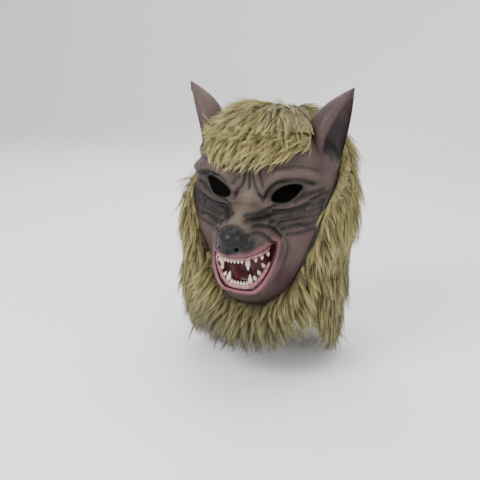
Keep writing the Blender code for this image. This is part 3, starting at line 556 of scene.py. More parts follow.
def make_face_skin(finish):
    angle, drop = skin_grid()
    holes = [mouth_outline()] + [shape(side) for shape in (eye_outline, nostril_outline) for side in (1, -1)]
    scales = [HEAD_HALF_WIDTH] * 3 + [MUZZLE_REACH] * 2
    cut = np.zeros(angle.shape, bool)
    for outline, scale in zip(holes, scales):
        distance, near = outline_distance(angle * scale, drop, outline, scale)
        inside = distance < 0
        kept = ~inside
        beside = np.zeros_like(inside)
        beside[1:] |= kept[:-1]
        beside[:-1] |= kept[1:]
        wide = beside.copy()
        wide[:, 1:] |= kept[:, :-1] | beside[:, :-1]
        wide[:, :-1] |= kept[:, 1:] | beside[:, 1:]
        snap = inside & wide
        angle = np.where(snap, near[..., 0], angle)
        drop = np.where(snap, near[..., 1], drop)
        cut |= inside
    side_angle = np.abs(angle)
    across = side_angle * HEAD_HALF_WIDTH
    radius = face_radius(angle, drop)
    wash_and_shade = np.zeros_like(radius)
    clear = np.clip(((edge_angle(drop) - side_angle) / LAP - 1.25) / 0.35, 0, 1)
    # Dark along each crease, more for deeper ones: partly rubbed-in wash, partly painted shade
    for depth, half_width, line in CREASES:
        distance = line_distance(across, drop, skin_line(line))
        radius -= depth * clear * ridge(distance, half_width)
        wash_and_shade = np.maximum(wash_and_shade, min(1, depth / CREASE_DARK) * ridge(distance, 1.2 * half_width))
    # Painted shade in the sunk folds
    for rise, half_width, line in FACE_FOLDS:
        if rise < 0:
            distance = line_distance(across, drop, skin_line(line))
            wash_and_shade = np.maximum(wash_and_shade, 0.75 * ridge(distance, 0.6 * half_width))
    mouth = hole_distance(angle, drop, [mouth_outline()])
    eyes = hole_distance(angle, drop, [eye_outline(side) for side in (1, -1)])
    nostrils = hole_distance(angle, drop, [nostril_outline(side) for side in (1, -1)], MUZZLE_REACH)
    radius += LIP_RISE * ridge(mouth - 0.003, 0.0028) - 0.0014 * ridge(mouth - 0.0085, 0.002)
    radius += LID_RISE * ridge(eyes - 0.0022, 0.0018) - 0.0012 * ridge(eyes - 0.006, 0.0015)
    radius += 0.0010 * ridge(nostrils - 0.0026, 0.0016)
    nose_across = side_angle * MUZZLE_REACH / (NOSE_SIDE * 1.05)
    nose = nose_across**2 + ((drop - NOSE_DROP - 0.001) / (NOSE_TALL * 0.98)) ** 2
    radius -= 0.0014 * ridge(np.sqrt(nose) - 1.12, 0.07) * (drop < NOSE_DROP + 0.6 * NOSE_TALL)
    black = np.clip(1.6 - nose, 0, 1)
    pad = ridge(np.hypot(side_angle * MUZZLE_REACH - 0.024, drop - 0.148), 0.014)
    black = np.maximum(black, 0.85 * pad)
    # Painted shade round the rims of the eye holes
    wash_and_shade = np.maximum(wash_and_shade, 0.9 * ridge(eyes, 0.0035))
    # Painted shade in a band along the face's lower edges, where the fur hangs over them
    to_edge = np.clip(1 - (edge_angle(drop) - side_angle) / radians(2.5), 0, 1)
    wash_and_shade = np.maximum(wash_and_shade, 0.7 * to_edge * (drop > 0.3 * HOOD_DROP))
    # Painted highlight down the middle of the nose bridge
    bridge_highlight = ridge(side_angle * HEAD_HALF_WIDTH, 0.016) * ridge(drop - 0.106, 0.026)
    cheek = ridge(drop - 0.125, 0.030) * np.clip((side_angle - radians(30)) / radians(25), 0, 1)
    jaw = ridge(drop - 0.215, 0.03) * np.clip((side_angle - radians(18)) / radians(20), 0, 1)
    maroon = np.maximum(cheek, 0.8 * jaw)
    lip_wide = np.where(drop < MOUTH_TOP + 0.4 * MOUTH_TALL, 0.0066, 0.0085)
    fade = np.clip(1.4 - side_angle / MOUTH_HALF_ANGLE * 0.75, 0.25, 1)
    lip = np.clip(1.25 - mouth / lip_wide, 0, 1) * fade
    faces = grid_faces(*angle.shape)
    faces = faces[~cut.ravel()[faces].all(axis=1)]
    marks = dict(wash_and_shade=wash_and_shade, black=black, bridge_highlight=bridge_highlight, maroon=maroon, lip=lip)
    mesh = mesh_of("face_skin", place(angle, radius, drop), faces, {w: v.ravel() for w, v in marks.items()})
    work = bmesh.new()
    work.from_mesh(mesh)
    bmesh.ops.delete(work, geom=[v for v in work.verts if not v.link_faces], context="VERTS")
    bmesh.ops.remove_doubles(work, verts=work.verts, dist=1e-5)
    bmesh.ops.dissolve_degenerate(work, edges=work.edges, dist=1e-5)
    bmesh.ops.recalc_face_normals(work, faces=work.faces)
    middle = work.faces[len(work.faces) // 2]
    if middle.normal.dot(Vector((middle.calc_center_median().x, middle.calc_center_median().y, 0))) < 0:
        bmesh.ops.reverse_faces(work, faces=work.faces)
    work.to_mesh(mesh)
    work.free()
    skin = new_object("face_skin", mesh, finish)
    wall = skin.modifiers.new("wall", "SOLIDIFY")
    wall.thickness = FACE_WALL
    wall.offset = -1
    applied(skin)
    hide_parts("latex_face")
    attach(skin, "root")
    return skin


# %% [markdown]
# Painted rubber is one base colour under washes: black-brown in the creases, partly a rubbed-in wash and
# partly painted shade, which also darkens the eye holes' rims, the face's edge by the fur and the ear cups;
# a maroon mist on the cheeks and ears, a painted highlight down the bridge, a black nose and pink lips. The
# washes are the marks kept on the skin, broken up by noise so that no edge looks ruled. Fine pores and
# stretch wrinkles are bump alone.

# %% Rubber paint
SKIN_TAUPE = (0.072, 0.049, 0.040)
SKIN_DEEP = (0.040, 0.025, 0.024)
# Colour of the dark wash and the painted shade in creases, eye rims, face edges and ear cups
WASH_AND_SHADE_BLACK = (0.004, 0.0045, 0.0035)
NOSE_BLACK = (0.0025, 0.0026, 0.0028)
MAROON = (0.060, 0.022, 0.029)
# Colour of the painted highlight on the bridge
BRIDGE_HIGHLIGHT = (0.130, 0.103, 0.076)
LIP_PINK = (0.200, 0.075, 0.098)
NOSE_SHINE = 0.14


def add_node(tree, kind, inputs=None, **settings):
    """A node with its settings, its values and the links into it."""
    made = tree.nodes.new(kind)
    for word, value in settings.items():
        setattr(made, word, value)
    for socket, value in (inputs or {}).items():
        if isinstance(value, bpy.types.NodeSocket):
            tree.links.new(value, made.inputs[socket])
        else:
            made.inputs[socket].default_value = value
    return made


class Finish:
    """A material with short calls for its nodes."""

    def __init__(self, name):
        self.material = bpy.data.materials.new(name)
        self.material.use_nodes = True
        self.tree = self.material.node_tree
        self.shader = self.tree.nodes["Principled BSDF"]
        self.spot = self.add("ShaderNodeTexCoord").outputs["Object"]

    def add(self, kind, inputs=None, **settings):
        return add_node(self.tree, kind, inputs, **settings)

    def noise(self, scale, detail=4.0, rough=0.6, vector=None):
        inputs = {"Vector": vector or self.spot, "Scale": scale, "Detail": detail, "Roughness": rough}
        return self.add("ShaderNodeTexNoise", inputs).outputs["Fac"]

    def mark(self, word, output="Fac"):
        return self.add("ShaderNodeAttribute", attribute_name=word).outputs[output]

    def sum(self, operation, a, b, clamp=False):
        return self.add("ShaderNodeMath", {0: a, 1: b}, operation=operation, use_clamp=clamp).outputs[0]

    def wash(self, word, base, tint, cloud, *limits):
        """`base` with `tint` where a mark is, broken up by a cloud."""
        return self.mix(self.sum("MULTIPLY", self.mark(word), self.range(cloud, *limits)), base, tint)

    def range(self, value, low, high, out_low=0.0, out_high=1.0):
        inputs = {"Value": value, "From Min": low, "From Max": high, "To Min": out_low, "To Max": out_high}
        return self.add("ShaderNodeMapRange", inputs, interpolation_type="SMOOTHSTEP").outputs["Result"]

    def mix(self, share, a, b):
        a, b = [(*c, 1) if isinstance(c, tuple) else c for c in (a, b)]
        return self.add("ShaderNodeMix", {0: share, 6: a, 7: b}, data_type="RGBA").outputs[2]

    def bump(self, height, depth, strength=1.0, under=None):
        inputs = {"Height": height, "Distance": depth, "Strength": strength}
        if under:
            inputs["Normal"] = under
        return self.add("ShaderNodeBump", inputs).outputs["Normal"]

    def stretched(self, scale):
        return self.add("ShaderNodeMapping", {"Vector": self.spot, "Scale": scale}).outputs["Vector"]

    def finish(self, colour, rough, normal=None, **sockets):
        self.tree.links.new(colour, self.shader.inputs["Base Color"])
        if isinstance(rough, float):
            self.shader.inputs["Roughness"].default_value = rough
        else:
            self.tree.links.new(rough, self.shader.inputs["Roughness"])
        if normal:
            self.tree.links.new(normal, self.shader.inputs["Normal"])
        for word, value in sockets.items():
            self.shader.inputs[word.replace("_", " ")].default_value = value
        return self.material


def rubber_paint():
    paint = Finish("painted_rubber")
    cloud = paint.noise(38.0, 5.0)
    patch = paint.noise(9.0, 3.0)
    grain = paint.noise(260.0, 4.0, 0.7)
    colour = paint.mix(paint.range(patch, 0.38, 0.66), SKIN_TAUPE, SKIN_DEEP)
    colour = paint.wash("maroon", colour, MAROON, cloud, 0.25, 0.7, 0.35, 1.0)
    # Painted highlight: the bridge lightened along its ridge
    colour = paint.wash("bridge_highlight", colour, BRIDGE_HIGHLIGHT, cloud, 0.2, 0.6, 0.3, 0.9)
    colour = paint.wash("lip", colour, LIP_PINK, cloud, 0.15, 0.55, 0.65, 1.0)
    broken = paint.range(cloud, 0.15, 0.65, 0.55, 1.15)
    # Dark wash and painted shade together, broken up by noise
    rubbed_and_shaded = paint.sum("MULTIPLY", paint.mark("wash_and_shade"), broken, clamp=True)
    speck = paint.range(grain, 0.60, 0.72, 0.0, 0.35)
    dark = paint.sum("MAXIMUM", rubbed_and_shaded, speck)
    colour = paint.mix(dark, colour, WASH_AND_SHADE_BLACK)
    worn = paint.range(grain, 0.2, 0.6, 0.88, 1.0)
    black = paint.sum("MULTIPLY", paint.range(paint.mark("black"), 0.2, 0.8), worn, clamp=True)
    colour = paint.mix(black, colour, NOSE_BLACK)
    shine = paint.sum("MULTIPLY", black, NOSE_SHINE)
    rough = paint.sum("SUBTRACT", paint.range(cloud, 0.3, 0.7, 0.38, 0.52), shine)
    cells = {"Vector": paint.stretched((1.0, 1.0, 1.9)), "Scale": 210.0}
    wrinkles = paint.add("ShaderNodeTexVoronoi", cells, feature="DISTANCE_TO_EDGE").outputs["Distance"]
    normal = paint.bump(paint.range(wrinkles, 0.0, 0.12), 0.0009, 0.5)
    normal = paint.bump(grain, 0.0005, 0.45, normal)
    normal = paint.bump(cloud, 0.0022, 0.5, normal)
    return paint.finish(colour, rough, normal, Specular_IOR_Level=0.28)


RUBBER_PAINT = rubber_paint()
face_skin = make_face_skin(RUBBER_PAINT)
print("face_skin", len(face_skin.data.polygons), "faces")

# %% [markdown]
# Each ear is a pointed leaf of the same rubber, rolled round a hollow. It stands on a bean-shaped loop on
# the head and tapers to its tip, and a smaller copy cut out of it leaves the wall and the dark cup.

# %% Ears
EAR_TIP = Vector((0.1205, -0.0075, 0.0494))
EAR_MOUTH_OUT = 0.012
EAR_MOUTH_SHIFT = (0.010, -0.008, 0.004)
EAR_HOLLOW_LIFT = 0.003
EAR_HOLLOW_TOP = 0.90
EAR_CUP_REACH = 0.0022
EAR_LOOP = (
    # angle, drop, forward, side
    (70, 0.225, 0.02, -0.02),
    (68, 0.160, 0.10, -0.05),
    (67, 0.105, 0.10, -0.10),
    (71, 0.055, 0.03, -0.17),
    (83, 0.048, -0.06, -0.16),
    (95, 0.085, -0.12, -0.08),
    (99, 0.160, -0.14, -0.01),
    (95, 0.240, -0.10, 0.02),
    (88, 0.285, 0.00, 0.03),
    (79, 0.262, 0.05, 0.02),
)
EAR_MOUTH = 9
EAR_WALL_SHARE = 0.78
EAR_HEIGHTS = 44


def on_face(angle, drop, out=0.0):
    return place(angle, face_radius(angle, drop) + out, drop)


def ear_cone(share, lift, top):
    """Rings of points from the ear's loop on the head up to its tip, on the +X side."""
    loop = np.array(smooth_rows(EAR_LOOP + EAR_LOOP[:1], 8)[:-1])
    angle, drop = np.radians(EAR_LOOP[EAR_MOUTH][0]), EAR_LOOP[EAR_MOUTH][1] * HOOD_DROP
    centre = on_face(angle, drop, EAR_MOUTH_OUT) + np.array(EAR_MOUTH_SHIFT)
    middle = loop[:, :2].mean(axis=0)
    tip = np.array(EAR_TIP)
    end = centre + (tip - centre) * top if share < 1 else tip
    rows = []
    for spread in (0.02, 0.5, 1.0):
        around = middle + (loop[:, :2] - middle) * spread
        feet = on_face(np.radians(around[:, 0]), around[:, 1] * HOOD_DROP, lift)
        rows.append(centre + (feet - centre) * share)
    for height in np.linspace(0, 1, EAR_HEIGHTS)[1:-1] ** 0.92:
        belly = 4 * height * (1 - height) * (tip[2] + HOOD_DROP * 0.15) * share
        lean = np.column_stack([loop[:, 3], -loop[:, 2], 0 * loop[:, 2]])
        rows.append(rows[2] + (end - rows[2]) * height + lean * belly)
    rows.append(np.repeat(end[None], len(loop), axis=0))
    return np.array(rows)


def closed_mesh(name, rows):
    """A solid through closed rings, its first and last rings drawn together to points."""
    rings, count, _ = rows.shape
    mesh = mesh_of(name, rows, grid_faces(rings, count, around=True))
    work = bmesh.new()
    work.from_mesh(mesh)
    bmesh.ops.remove_doubles(work, verts=work.verts, dist=1e-5)
    bmesh.ops.holes_fill(work, edges=[e for e in work.edges if len(e.link_faces) == 1], sides=0)
    bmesh.ops.triangulate(work, faces=[f for f in work.faces if len(f.verts) > 4])
    bmesh.ops.recalc_face_normals(work, faces=work.faces)
    work.to_mesh(mesh)
    work.free()
    return mesh


def make_ear(side, name, finish):
    mirror = np.array((side, 1, 1))
    outer = new_object(name, closed_mesh(name, ear_cone(1.0, -0.5 * FACE_WALL, 1.0) * mirror), finish)
    rows = ear_cone(EAR_WALL_SHARE, EAR_HOLLOW_LIFT, EAR_HOLLOW_TOP) * mirror
    hollow = new_object("ear_hollow", closed_mesh("ear_hollow", rows))
    cut = outer.modifiers.new("cup", "BOOLEAN")
    cut.object = hollow
    cut.operation = "DIFFERENCE"
    cut.solver = "EXACT"
    applied(outer)
    points = np.array([v.co for v in hollow.data.vertices])
    bpy.data.objects.remove(hollow)
    mesh = outer.data
    spots = np.array([v.co for v in mesh.vertices])
    cup = np.array([np.min(np.sum((points - p) ** 2, axis=1)) for p in spots]) ** 0.5
    up = np.clip(spots[:, 2] / EAR_TIP.z, -1, 1)
    inner = ridge(cup, EAR_CUP_REACH)
    # Painted shade in the cup: darker deeper in, and most in the ear's lower half
    dark = inner * (0.25 + 0.6 * np.clip(0.5 - up, 0, 1))
    for word, values in {"wash_and_shade": dark, "maroon": 0.3 + 0.7 * inner, "black": 0 * up}.items():
        mesh.attributes.new(word, "FLOAT", "POINT").data.foreach_set("value", values)
    mesh.shade_smooth()
    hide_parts("latex_face")
    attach(outer, "root")
    return outer


for side, word in ((1, "left"), (-1, "right")):
    print(make_ear(side, f"ear_{word}", RUBBER_PAINT).name)

# %% [markdown]
# Behind the lips lies a pocket of dark red rubber. It is the mouth's outline again, stepped back into the
# head ring by ring and closed behind, which is simpler than a sculpted throat and is all that shows.

# %% Mouth lining
MOUTH_DEPTH = 0.26
LINING_WALL = 0.0015
LINING_SECTIONS = (
    # depth, width
    (0.05, 1.00),
    (0.12, 1.00),
    (0.39, 1.00),
    (0.69, 0.97),
    (0.90, 0.93),
    (1.00, 0.86),
    (1.00, 0.60),
    (1.00, 0.30),
    (1.00, 0.00),
)


def lining_finish():
    paint = Finish("lining_rubber")
    cloud = paint.noise(60.0, 4.0)
    colour = paint.mix(paint.range(cloud, 0.3, 0.7), (0.105, 0.016, 0.020), (0.032, 0.008, 0.009))
    return paint.finish(colour, paint.range(cloud, 0.3, 0.7, 0.30, 0.5), paint.bump(cloud, 0.002, 0.6))


def make_lining(finish):
    outline = mouth_outline(1.5 * SEAT_GAP)
    middle = outline.mean(axis=0)
    rings = []
    for depth, width in LINING_SECTIONS:
        radius = face_radius(outline[:, 0], outline[:, 1]) * (1 - MOUTH_DEPTH * depth)
        shrunk = middle + (outline - middle) * width
        rings.append(place(shrunk[:, 0], radius if width > 0 else radius.mean(), shrunk[:, 1]))
    rings = np.array(rings)
    rings[-1] = rings[-2].mean(axis=0)
    mesh = mesh_of("throat", rings, grid_faces(len(rings), len(outline), around=True))
    work = bmesh.new()
    work.from_mesh(mesh)
    bmesh.ops.remove_doubles(work, verts=work.verts, dist=1e-5)
    bmesh.ops.recalc_face_normals(work, faces=work.faces)
    deepest = max(work.faces, key=lambda f: f.calc_center_median().y)
    if deepest.normal.y < 0:
        bmesh.ops.reverse_faces(work, faces=work.faces)
    work.to_mesh(mesh)
    work.free()
    throat = new_object("throat", mesh, finish)
    wall = throat.modifiers.new("wall", "SOLIDIFY")
    wall.thickness = LINING_WALL
    wall.offset = -1
    applied(throat)
    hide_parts("mouth_lining")
    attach(throat, "root")
    return throat


print(make_lining(lining_finish()).name)

# %% [markdown]
# The gums are soft rolls inside the lips, and each tooth grows out of one. Teeth are small lofts: rings
# that swell over the root, bend a little backwards and narrow to a blunt tip. One jaw is one mesh, made
# from arrays, because the real teeth are cast together with their gum.

# %% Gums and teeth
GUM_HALF_ANGLE = radians(23.5)
GUM_RADIUS = 0.0021
GUM_TURNS = 121
GUM_SIDES = 16
# The roll's thickness in shares of GUM_RADIUS, and what it gains beside a root
GUM_FULLNESS = 1.38
GUM_SWELL = 0.16
UPPER_GUM_DEPTH = 0.060
LOWER_GUM_DEPTH = 0.030
MOUTH_CORNER = 6
TOOTH_GAP = 0.0012
FANG_RADIUS = 0.0034
FANG_LENGTH = {"upper": 0.0155, "lower": 0.0128}
FANG_UPRIGHT = 4.0
INCISOR_WIDTH = 0.0044
INCISOR_LENGTH = 0.0055
INCISORS_PER_SIDE = 3
SIDE_TEETH = 3
SIDE_TOOTH_LENGTH = 0.0065
SIDE_TOOTH_RADIUS = 0.0026
TOOTH_SIDES = 14
TOOTH_RINGS = (
    # height, radius
    (-0.22, 0.60),
    (-0.08, 0.88),
    (0.06, 0.99),
    (0.22, 1.00),
    (0.40, 0.90),
    (0.60, 0.72),
    (0.78, 0.50),
    (0.91, 0.31),
    (0.98, 0.15),
    (1.00, 0.00),
)


def gum_path(upper):
    inset = LINING_WALL + GUM_RADIUS + 3 * SEAT_GAP
    half = mouth_outline(inset, 1)[: len(MOUTH_OUTLINE)]
    half = half[:MOUTH_CORNER] if upper else half[: MOUTH_CORNER + 1 : -1]
    return np.vstack([half[:0:-1] * (-1, 1), half])


def gum_point(angle, upper):
    path = gum_path(upper)
    drop = np.interp(angle, path[:, 0], path[:, 1])
    depth = UPPER_GUM_DEPTH if upper else LOWER_GUM_DEPTH
    return place(angle, face_radius(angle, drop) * (1 - depth), drop)


def unit(vector):
    return vector / np.linalg.norm(vector, axis=-1, keepdims=True)


def ring(centre, along, radius, count, flat=1.0):
    front = unit(np.array((centre[0], centre[1], 0.0)))
    side = unit(np.cross(along, front))
    front = unit(np.cross(side, along))
    turns = 2 * pi * np.arange(count)[:, None] / count
    return centre + radius * (np.cos(turns) * side + flat * np.sin(turns) * front)


def tooth_rings(angle, upper, radius, length, flat, upright, bend):
    """Rings of one tooth, from inside its gum to the tip."""
    gum = gum_point(angle, upper)
    along = gum_point(angle + LAP / 4, upper) - gum_point(angle - LAP / 4, upper)
    inward = -unit(np.array((gum[0], gum[1], 0.0)))
    square = unit(np.cross(inward, along))
    square *= -1 if (square[2] > 0) == upper else 1
    grow = unit(square + upright * np.array((0, 0, -1 if upper else 1)))
    slope = np.sqrt(max(0.0, 1 - float(square @ grow) ** 2))
    foot = gum + square * (1.03 * GUM_RADIUS + SEAT_GAP + radius * slope)
    rows = []
    for share, width in TOOTH_RINGS:
        centre = foot + grow * length * share + inward * bend * length * max(share, 0) ** 2
        rows.append(ring(centre, grow, max(radius * width, 1e-5), TOOTH_SIDES, flat))
    return np.array(rows)


def tooth_plan(upper):
    """Every tooth of a jaw: angle, radius, length, flatness, how upright and how bent."""
    reach = abs(gum_point(0.0, upper)[1])
    pitch = (INCISOR_WIDTH + SEAT_GAP) / reach
    fang = pitch * INCISORS_PER_SIDE + (FANG_RADIUS + TOOTH_GAP) / reach
    length = FANG_LENGTH["upper" if upper else "lower"]
    plan = []
    for side in (1, -1):
        for k in range(INCISORS_PER_SIDE):
            plan.append((side * pitch * (k + 0.5), INCISOR_WIDTH / 2, INCISOR_LENGTH, 0.8, 1.0, 0.06))
        plan.append((side * fang, FANG_RADIUS, length, 1.0, FANG_UPRIGHT, 0.14))
        for k in range(SIDE_TEETH):
            angle = side * (fang + (GUM_HALF_ANGLE - fang) * (k + 1.2) / (SIDE_TEETH + 1))
            plan.append((angle, SIDE_TOOTH_RADIUS, SIDE_TOOTH_LENGTH, 1.0, 1.0, 0.05))
    return plan


def joined(parts):
    """One list of points and one of faces from many (points, faces)."""
    points, faces, first = [], [], 0
    for spots, corners in parts:
        spots = np.asarray(spots).reshape(-1, 3)
        points.append(spots)
        faces.append(np.asarray(corners) + first)
        first += len(spots)
    return np.vstack(points), np.vstack(faces)


def tooth_finish():
    paint = Finish("tooth_enamel")
    height = paint.mark("height")
    cloud = paint.noise(240.0, 4.0)
    ivory = paint.mix(paint.range(cloud, 0.3, 0.7), (0.62, 0.55, 0.48), (0.42, 0.34, 0.29))
    stain = paint.range(height, 0.40, 0.0, 0.0, 0.9)
    stain = paint.sum("MULTIPLY", stain, paint.range(cloud, 0.2, 0.7, 0.6, 1.0))
    colour = paint.mix(stain, ivory, (0.20, 0.085, 0.085))
    rough = paint.range(cloud, 0.3, 0.7, 0.22, 0.38)
    return paint.finish(colour, rough, paint.bump(cloud, 0.0006, 0.5), Coat_Weight=0.3)


def gum_finish():
    paint = Finish("gum_rubber")
    cloud = paint.noise(130.0, 5.0)
    colour = paint.mix(paint.range(cloud, 0.35, 0.68), (0.300, 0.110, 0.128), (0.120, 0.034, 0.044))
    rough = paint.range(cloud, 0.3, 0.7, 0.20, 0.36)
    return paint.finish(colour, rough, paint.bump(cloud, 0.0012, 0.6), Coat_Weight=0.4)


def make_jaw(jaw, tooth_paint, gum_paint):
    upper = jaw == "upper"
    teeth = []
    heights = []
    for angle, radius, length, flat, upright, bend in tooth_plan(upper):
        rows = tooth_rings(angle, upper, radius, length, flat, upright, bend)
        teeth.append((rows, grid_faces(len(rows), TOOTH_SIDES, around=True)))
        heights.append(np.repeat([share for share, _ in TOOTH_RINGS], TOOTH_SIDES))
    mesh = mesh_of(f"{jaw}_teeth", *joined(teeth), {"height": np.concatenate(heights)})
    close_up(mesh)
    row = new_object(f"{jaw}_teeth", mesh, tooth_paint)
    names = [f"{jaw}_fang_{side}" for side in ("left", "right")]
    for side in ("left", "right"):
        names += [f"{jaw}_incisor_{side}_{k + 1}" for k in range(INCISORS_PER_SIDE)]
        names += [f"{jaw}_side_tooth_{side}_{k + 1}" for k in range(SIDE_TEETH)]
    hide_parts(*names)
    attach(row, "root")
    angles = np.linspace(-GUM_HALF_ANGLE, GUM_HALF_ANGLE, GUM_TURNS)
    centres = np.array([gum_point(angle, upper) for angle in angles])
    roots = np.array([plan[0] for plan in tooth_plan(upper)])
    swell = np.exp(-((np.min(np.abs(angles[:, None] - roots), axis=1) / radians(1.1)) ** 2))
    ends = np.sqrt(np.clip(1 - (angles / GUM_HALF_ANGLE) ** 8, 0.0001, 1))
    along = np.gradient(centres, axis=0)
    sizes = GUM_RADIUS * ends * (GUM_FULLNESS + GUM_SWELL * swell)
    rows = [ring(centre, way, size, GUM_SIDES) for centre, way, size in zip(centres, along, sizes)]
    mesh = mesh_of(f"{jaw}_gum_roll", np.array(rows), grid_faces(len(rows), GUM_SIDES, around=True))
    close_up(mesh)
    roll = new_object(f"{jaw}_gum_roll", mesh, gum_paint)
    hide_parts(f"{jaw}_gum")
    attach(roll, "root")
    return row, roll


def close_up(mesh):
    """Welds a mesh's doubles, fills its open ends and turns its faces outwards."""
    work = bmesh.new()
    work.from_mesh(mesh)
    bmesh.ops.remove_doubles(work, verts=work.verts, dist=1.5e-5)
    bmesh.ops.holes_fill(work, edges=[e for e in work.edges if len(e.link_faces) == 1], sides=0)
    bmesh.ops.recalc_face_normals(work, faces=work.faces)
    work.to_mesh(mesh)
    work.free()


TOOTH_PAINT = tooth_finish()
GUM_PAINT = gum_finish()
for jaw in ("upper", "lower"):
    row, roll = make_jaw(jaw, TOOTH_PAINT, GUM_PAINT)
    print(row.name, len(row.data.polygons), roll.name, len(roll.data.polygons))

# %% [markdown]
# The hood is a knitted cap that the fur is sewn on, seen only from below and inside. Three panels of the
# head's own sections, just under the rubber, meet in seams. Its knit is rows of small loops, drawn as a
# bump on coordinates that run round and down the head, and painted darker between the loops as painted
# shade.

# %% Knitted hood
CROWN_SEAM = 0.20
SEAM_GAP = 0.0008
LAP_DROP = 0.010
STITCH = 0.0016
HOOD_ROWS = 60
HOOD_TURNS = 96


def hem_drop(angle, share):
    return HEM_RAKE * np.maximum(0.0, (share - 0.7) / 0.3) * (1 - np.cos(angle)) / 2


def head_point(angle, row, out):
    """A point `out` beyond the head's surface, at a row of the table, along the way the fur stands."""
    rows = np.arange(len(HEAD))
    drop = np.interp(row, rows, HEAD[:, 0]) * HOOD_DROP
    lean = np.radians(np.interp(row, rows, HEAD[:, 5]))
    radius = np.where(row > 0, head_radius(angle, drop), 0.0)
    level = np.maximum(radius + out * np.cos(lean), 0.0)
    return place(angle, level, drop + hem_drop(angle, drop / HOOD_DROP) - out * np.sin(lean))


def knit_finish():
    paint = Finish("knit")
    spot = paint.add("ShaderNodeAttribute", attribute_name="weave").outputs["Vector"]
    bands = []
    for way, distortion, detail in (("X", 1.5, 2.0), ("Y", 1.0, 1.0)):
        inputs = {"Vector": spot, "Scale": 0.5, "Distortion": distortion, "Detail": detail}
        bands.append(paint.add("ShaderNodeTexWave", inputs, bands_direction=way).outputs["Fac"])
    loops = paint.sum("MULTIPLY", *bands)
    fuzz = paint.noise(900.0, 3.0)
    # Painted shade: the colour follows the loops' bump, darker between them
    colour = paint.mix(loops, (0.030, 0.027, 0.022), (0.085, 0.076, 0.060))
    colour = paint.mix(paint.range(fuzz, 0.45, 0.75, 0.0, 0.5), colour, (0.14, 0.125, 0.10))
    return paint.finish(colour, 0.92, paint.bump(loops, 0.0009, 0.9), Sheen_Weight=0.25)


def make_panel(name, node, first, last, turns, finish):
    """One panel between two rows of the head's table, with the face's opening left out of it."""
    row, angle = np.meshgrid(np.linspace(first, last, HOOD_ROWS), turns, indexing="ij")
    points = head_point(angle, row, -FACE_WALL - SEAT_GAP)
    signed = (angle + pi) % (2 * pi) - pi
    drop = CROWN_RISE - points[..., 2]
    level = (drop > FACE_TOP + LAP_DROP) & (drop < FACE_BOTTOM - LAP_DROP)
    inside = level & (np.abs(signed) < edge_angle(drop) - LAP)
    around = turns[-1] - turns[0] > 1.9 * pi
    faces = grid_faces(*angle.shape, around=around)
    faces = faces[~inside.ravel()[faces].all(axis=1)]
    stitch = np.stack([signed * HEAD_HALF_WIDTH, drop, 0 * drop], -1) / STITCH
    mesh = mesh_of(name, points, faces, {"weave": stitch.reshape(-1, 3)})
    work = bmesh.new()
    work.from_mesh(mesh)
    bmesh.ops.delete(work, geom=[v for v in work.verts if not v.link_faces], context="VERTS")
    bmesh.ops.remove_doubles(work, verts=work.verts, dist=1e-6)
    bmesh.ops.recalc_face_normals(work, faces=work.faces)
    middle = max(work.faces, key=lambda f: f.calc_center_median().y)
    if middle.normal.y < 0:
        bmesh.ops.reverse_faces(work, faces=work.faces)
    work.to_mesh(mesh)
    work.free()
    panel = new_object(name, mesh, finish)
    wall = panel.modifiers.new("wall", "SOLIDIFY")
    wall.thickness = HOOD_WALL
    wall.offset = -1
    applied(panel)
    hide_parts(node)
    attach(panel, "root")
    return panel


def make_hood(finish):
    seam = float(np.interp(CROWN_SEAM, HEAD[:, 0], np.arange(len(HEAD))))
    half_gap = SEAM_GAP / HOOD_DROP * len(HEAD) / 2
    edge = SEAM_GAP / 2 / HEAD_FRONT
    ring_turns = np.linspace(0, 2 * pi, 2 * HOOD_TURNS + 1)[:-1]
    side_turns = np.linspace(edge, pi - edge, HOOD_TURNS)
    last = len(HEAD) - 1
    return (
        make_panel("knit_crown", "hood_crown", 0, seam - half_gap, ring_turns, finish),
        make_panel("knit_left", "hood_left", seam + half_gap, last, side_turns, finish),
        make_panel("knit_right", "hood_right", seam + half_gap, last, -side_turns[::-1], finish),
    )


print("hood", [panel.name for panel in make_hood(knit_finish())])

# %% [markdown]
# Real fake fur is a woolly undercoat with long guard hairs over it. The undercoat is a copy of the packed
# fur, melted together by a voxel remesh, smoothed and drawn in, so that the hairs have their depth to
# stand in. Each of its points keeps the way the hair is combed there, how long it is and how much darker
# it is made towards the bottom of the fur.

# %% Undercoat
UNDERCOAT_GRAIN = 0.0042
UNDERCOAT_SINK = {"mane_fur": 0.0065, "forelock_fur": 0.0055, "beard_fur": 0.0022}
WHORL = np.array((0.012, 0.035))
FACE_SWEEP = 0.030
HAIR_LENGTH = {"mane_fur": 0.046, "forelock_fur": 0.036, "beard_fur": 0.040}
HAIR_LIFT = {"mane_fur": 0.09, "forelock_fur": 0.14, "beard_fur": 0.16}
HAIR_HANG = 0.004
HAIR_BY_EARS = 0.012
HAIR_PROUD = 0.006
HAIR_STRAY = 0.22
HAIR_LEAST = 0.009
EARS = [bpy.data.objects[f"ear_{word}"].data for word in ("left", "right")]
EAR_SPOTS = np.vstack([[v.co for v in mesh.vertices] for mesh in EARS])[::7]


def ear_distance(spots):
    return np.sqrt(np.array([np.min(np.sum((EAR_SPOTS - p) ** 2, axis=1)) for p in spots]))


def beside_face(spots):
    """1 at the edge of the face, fading to 0 away from it."""
    x, y, z = spots.T
    gap = (np.abs(np.arctan2(x, -y)) - edge_angle(np.clip(CROWN_RISE - z, 0, FACE_BOTTOM))) * np.hypot(x, y)
    return np.exp(-np.maximum(gap, 0) / FACE_SWEEP) * (z > CROWN_RISE - FACE_BOTTOM)


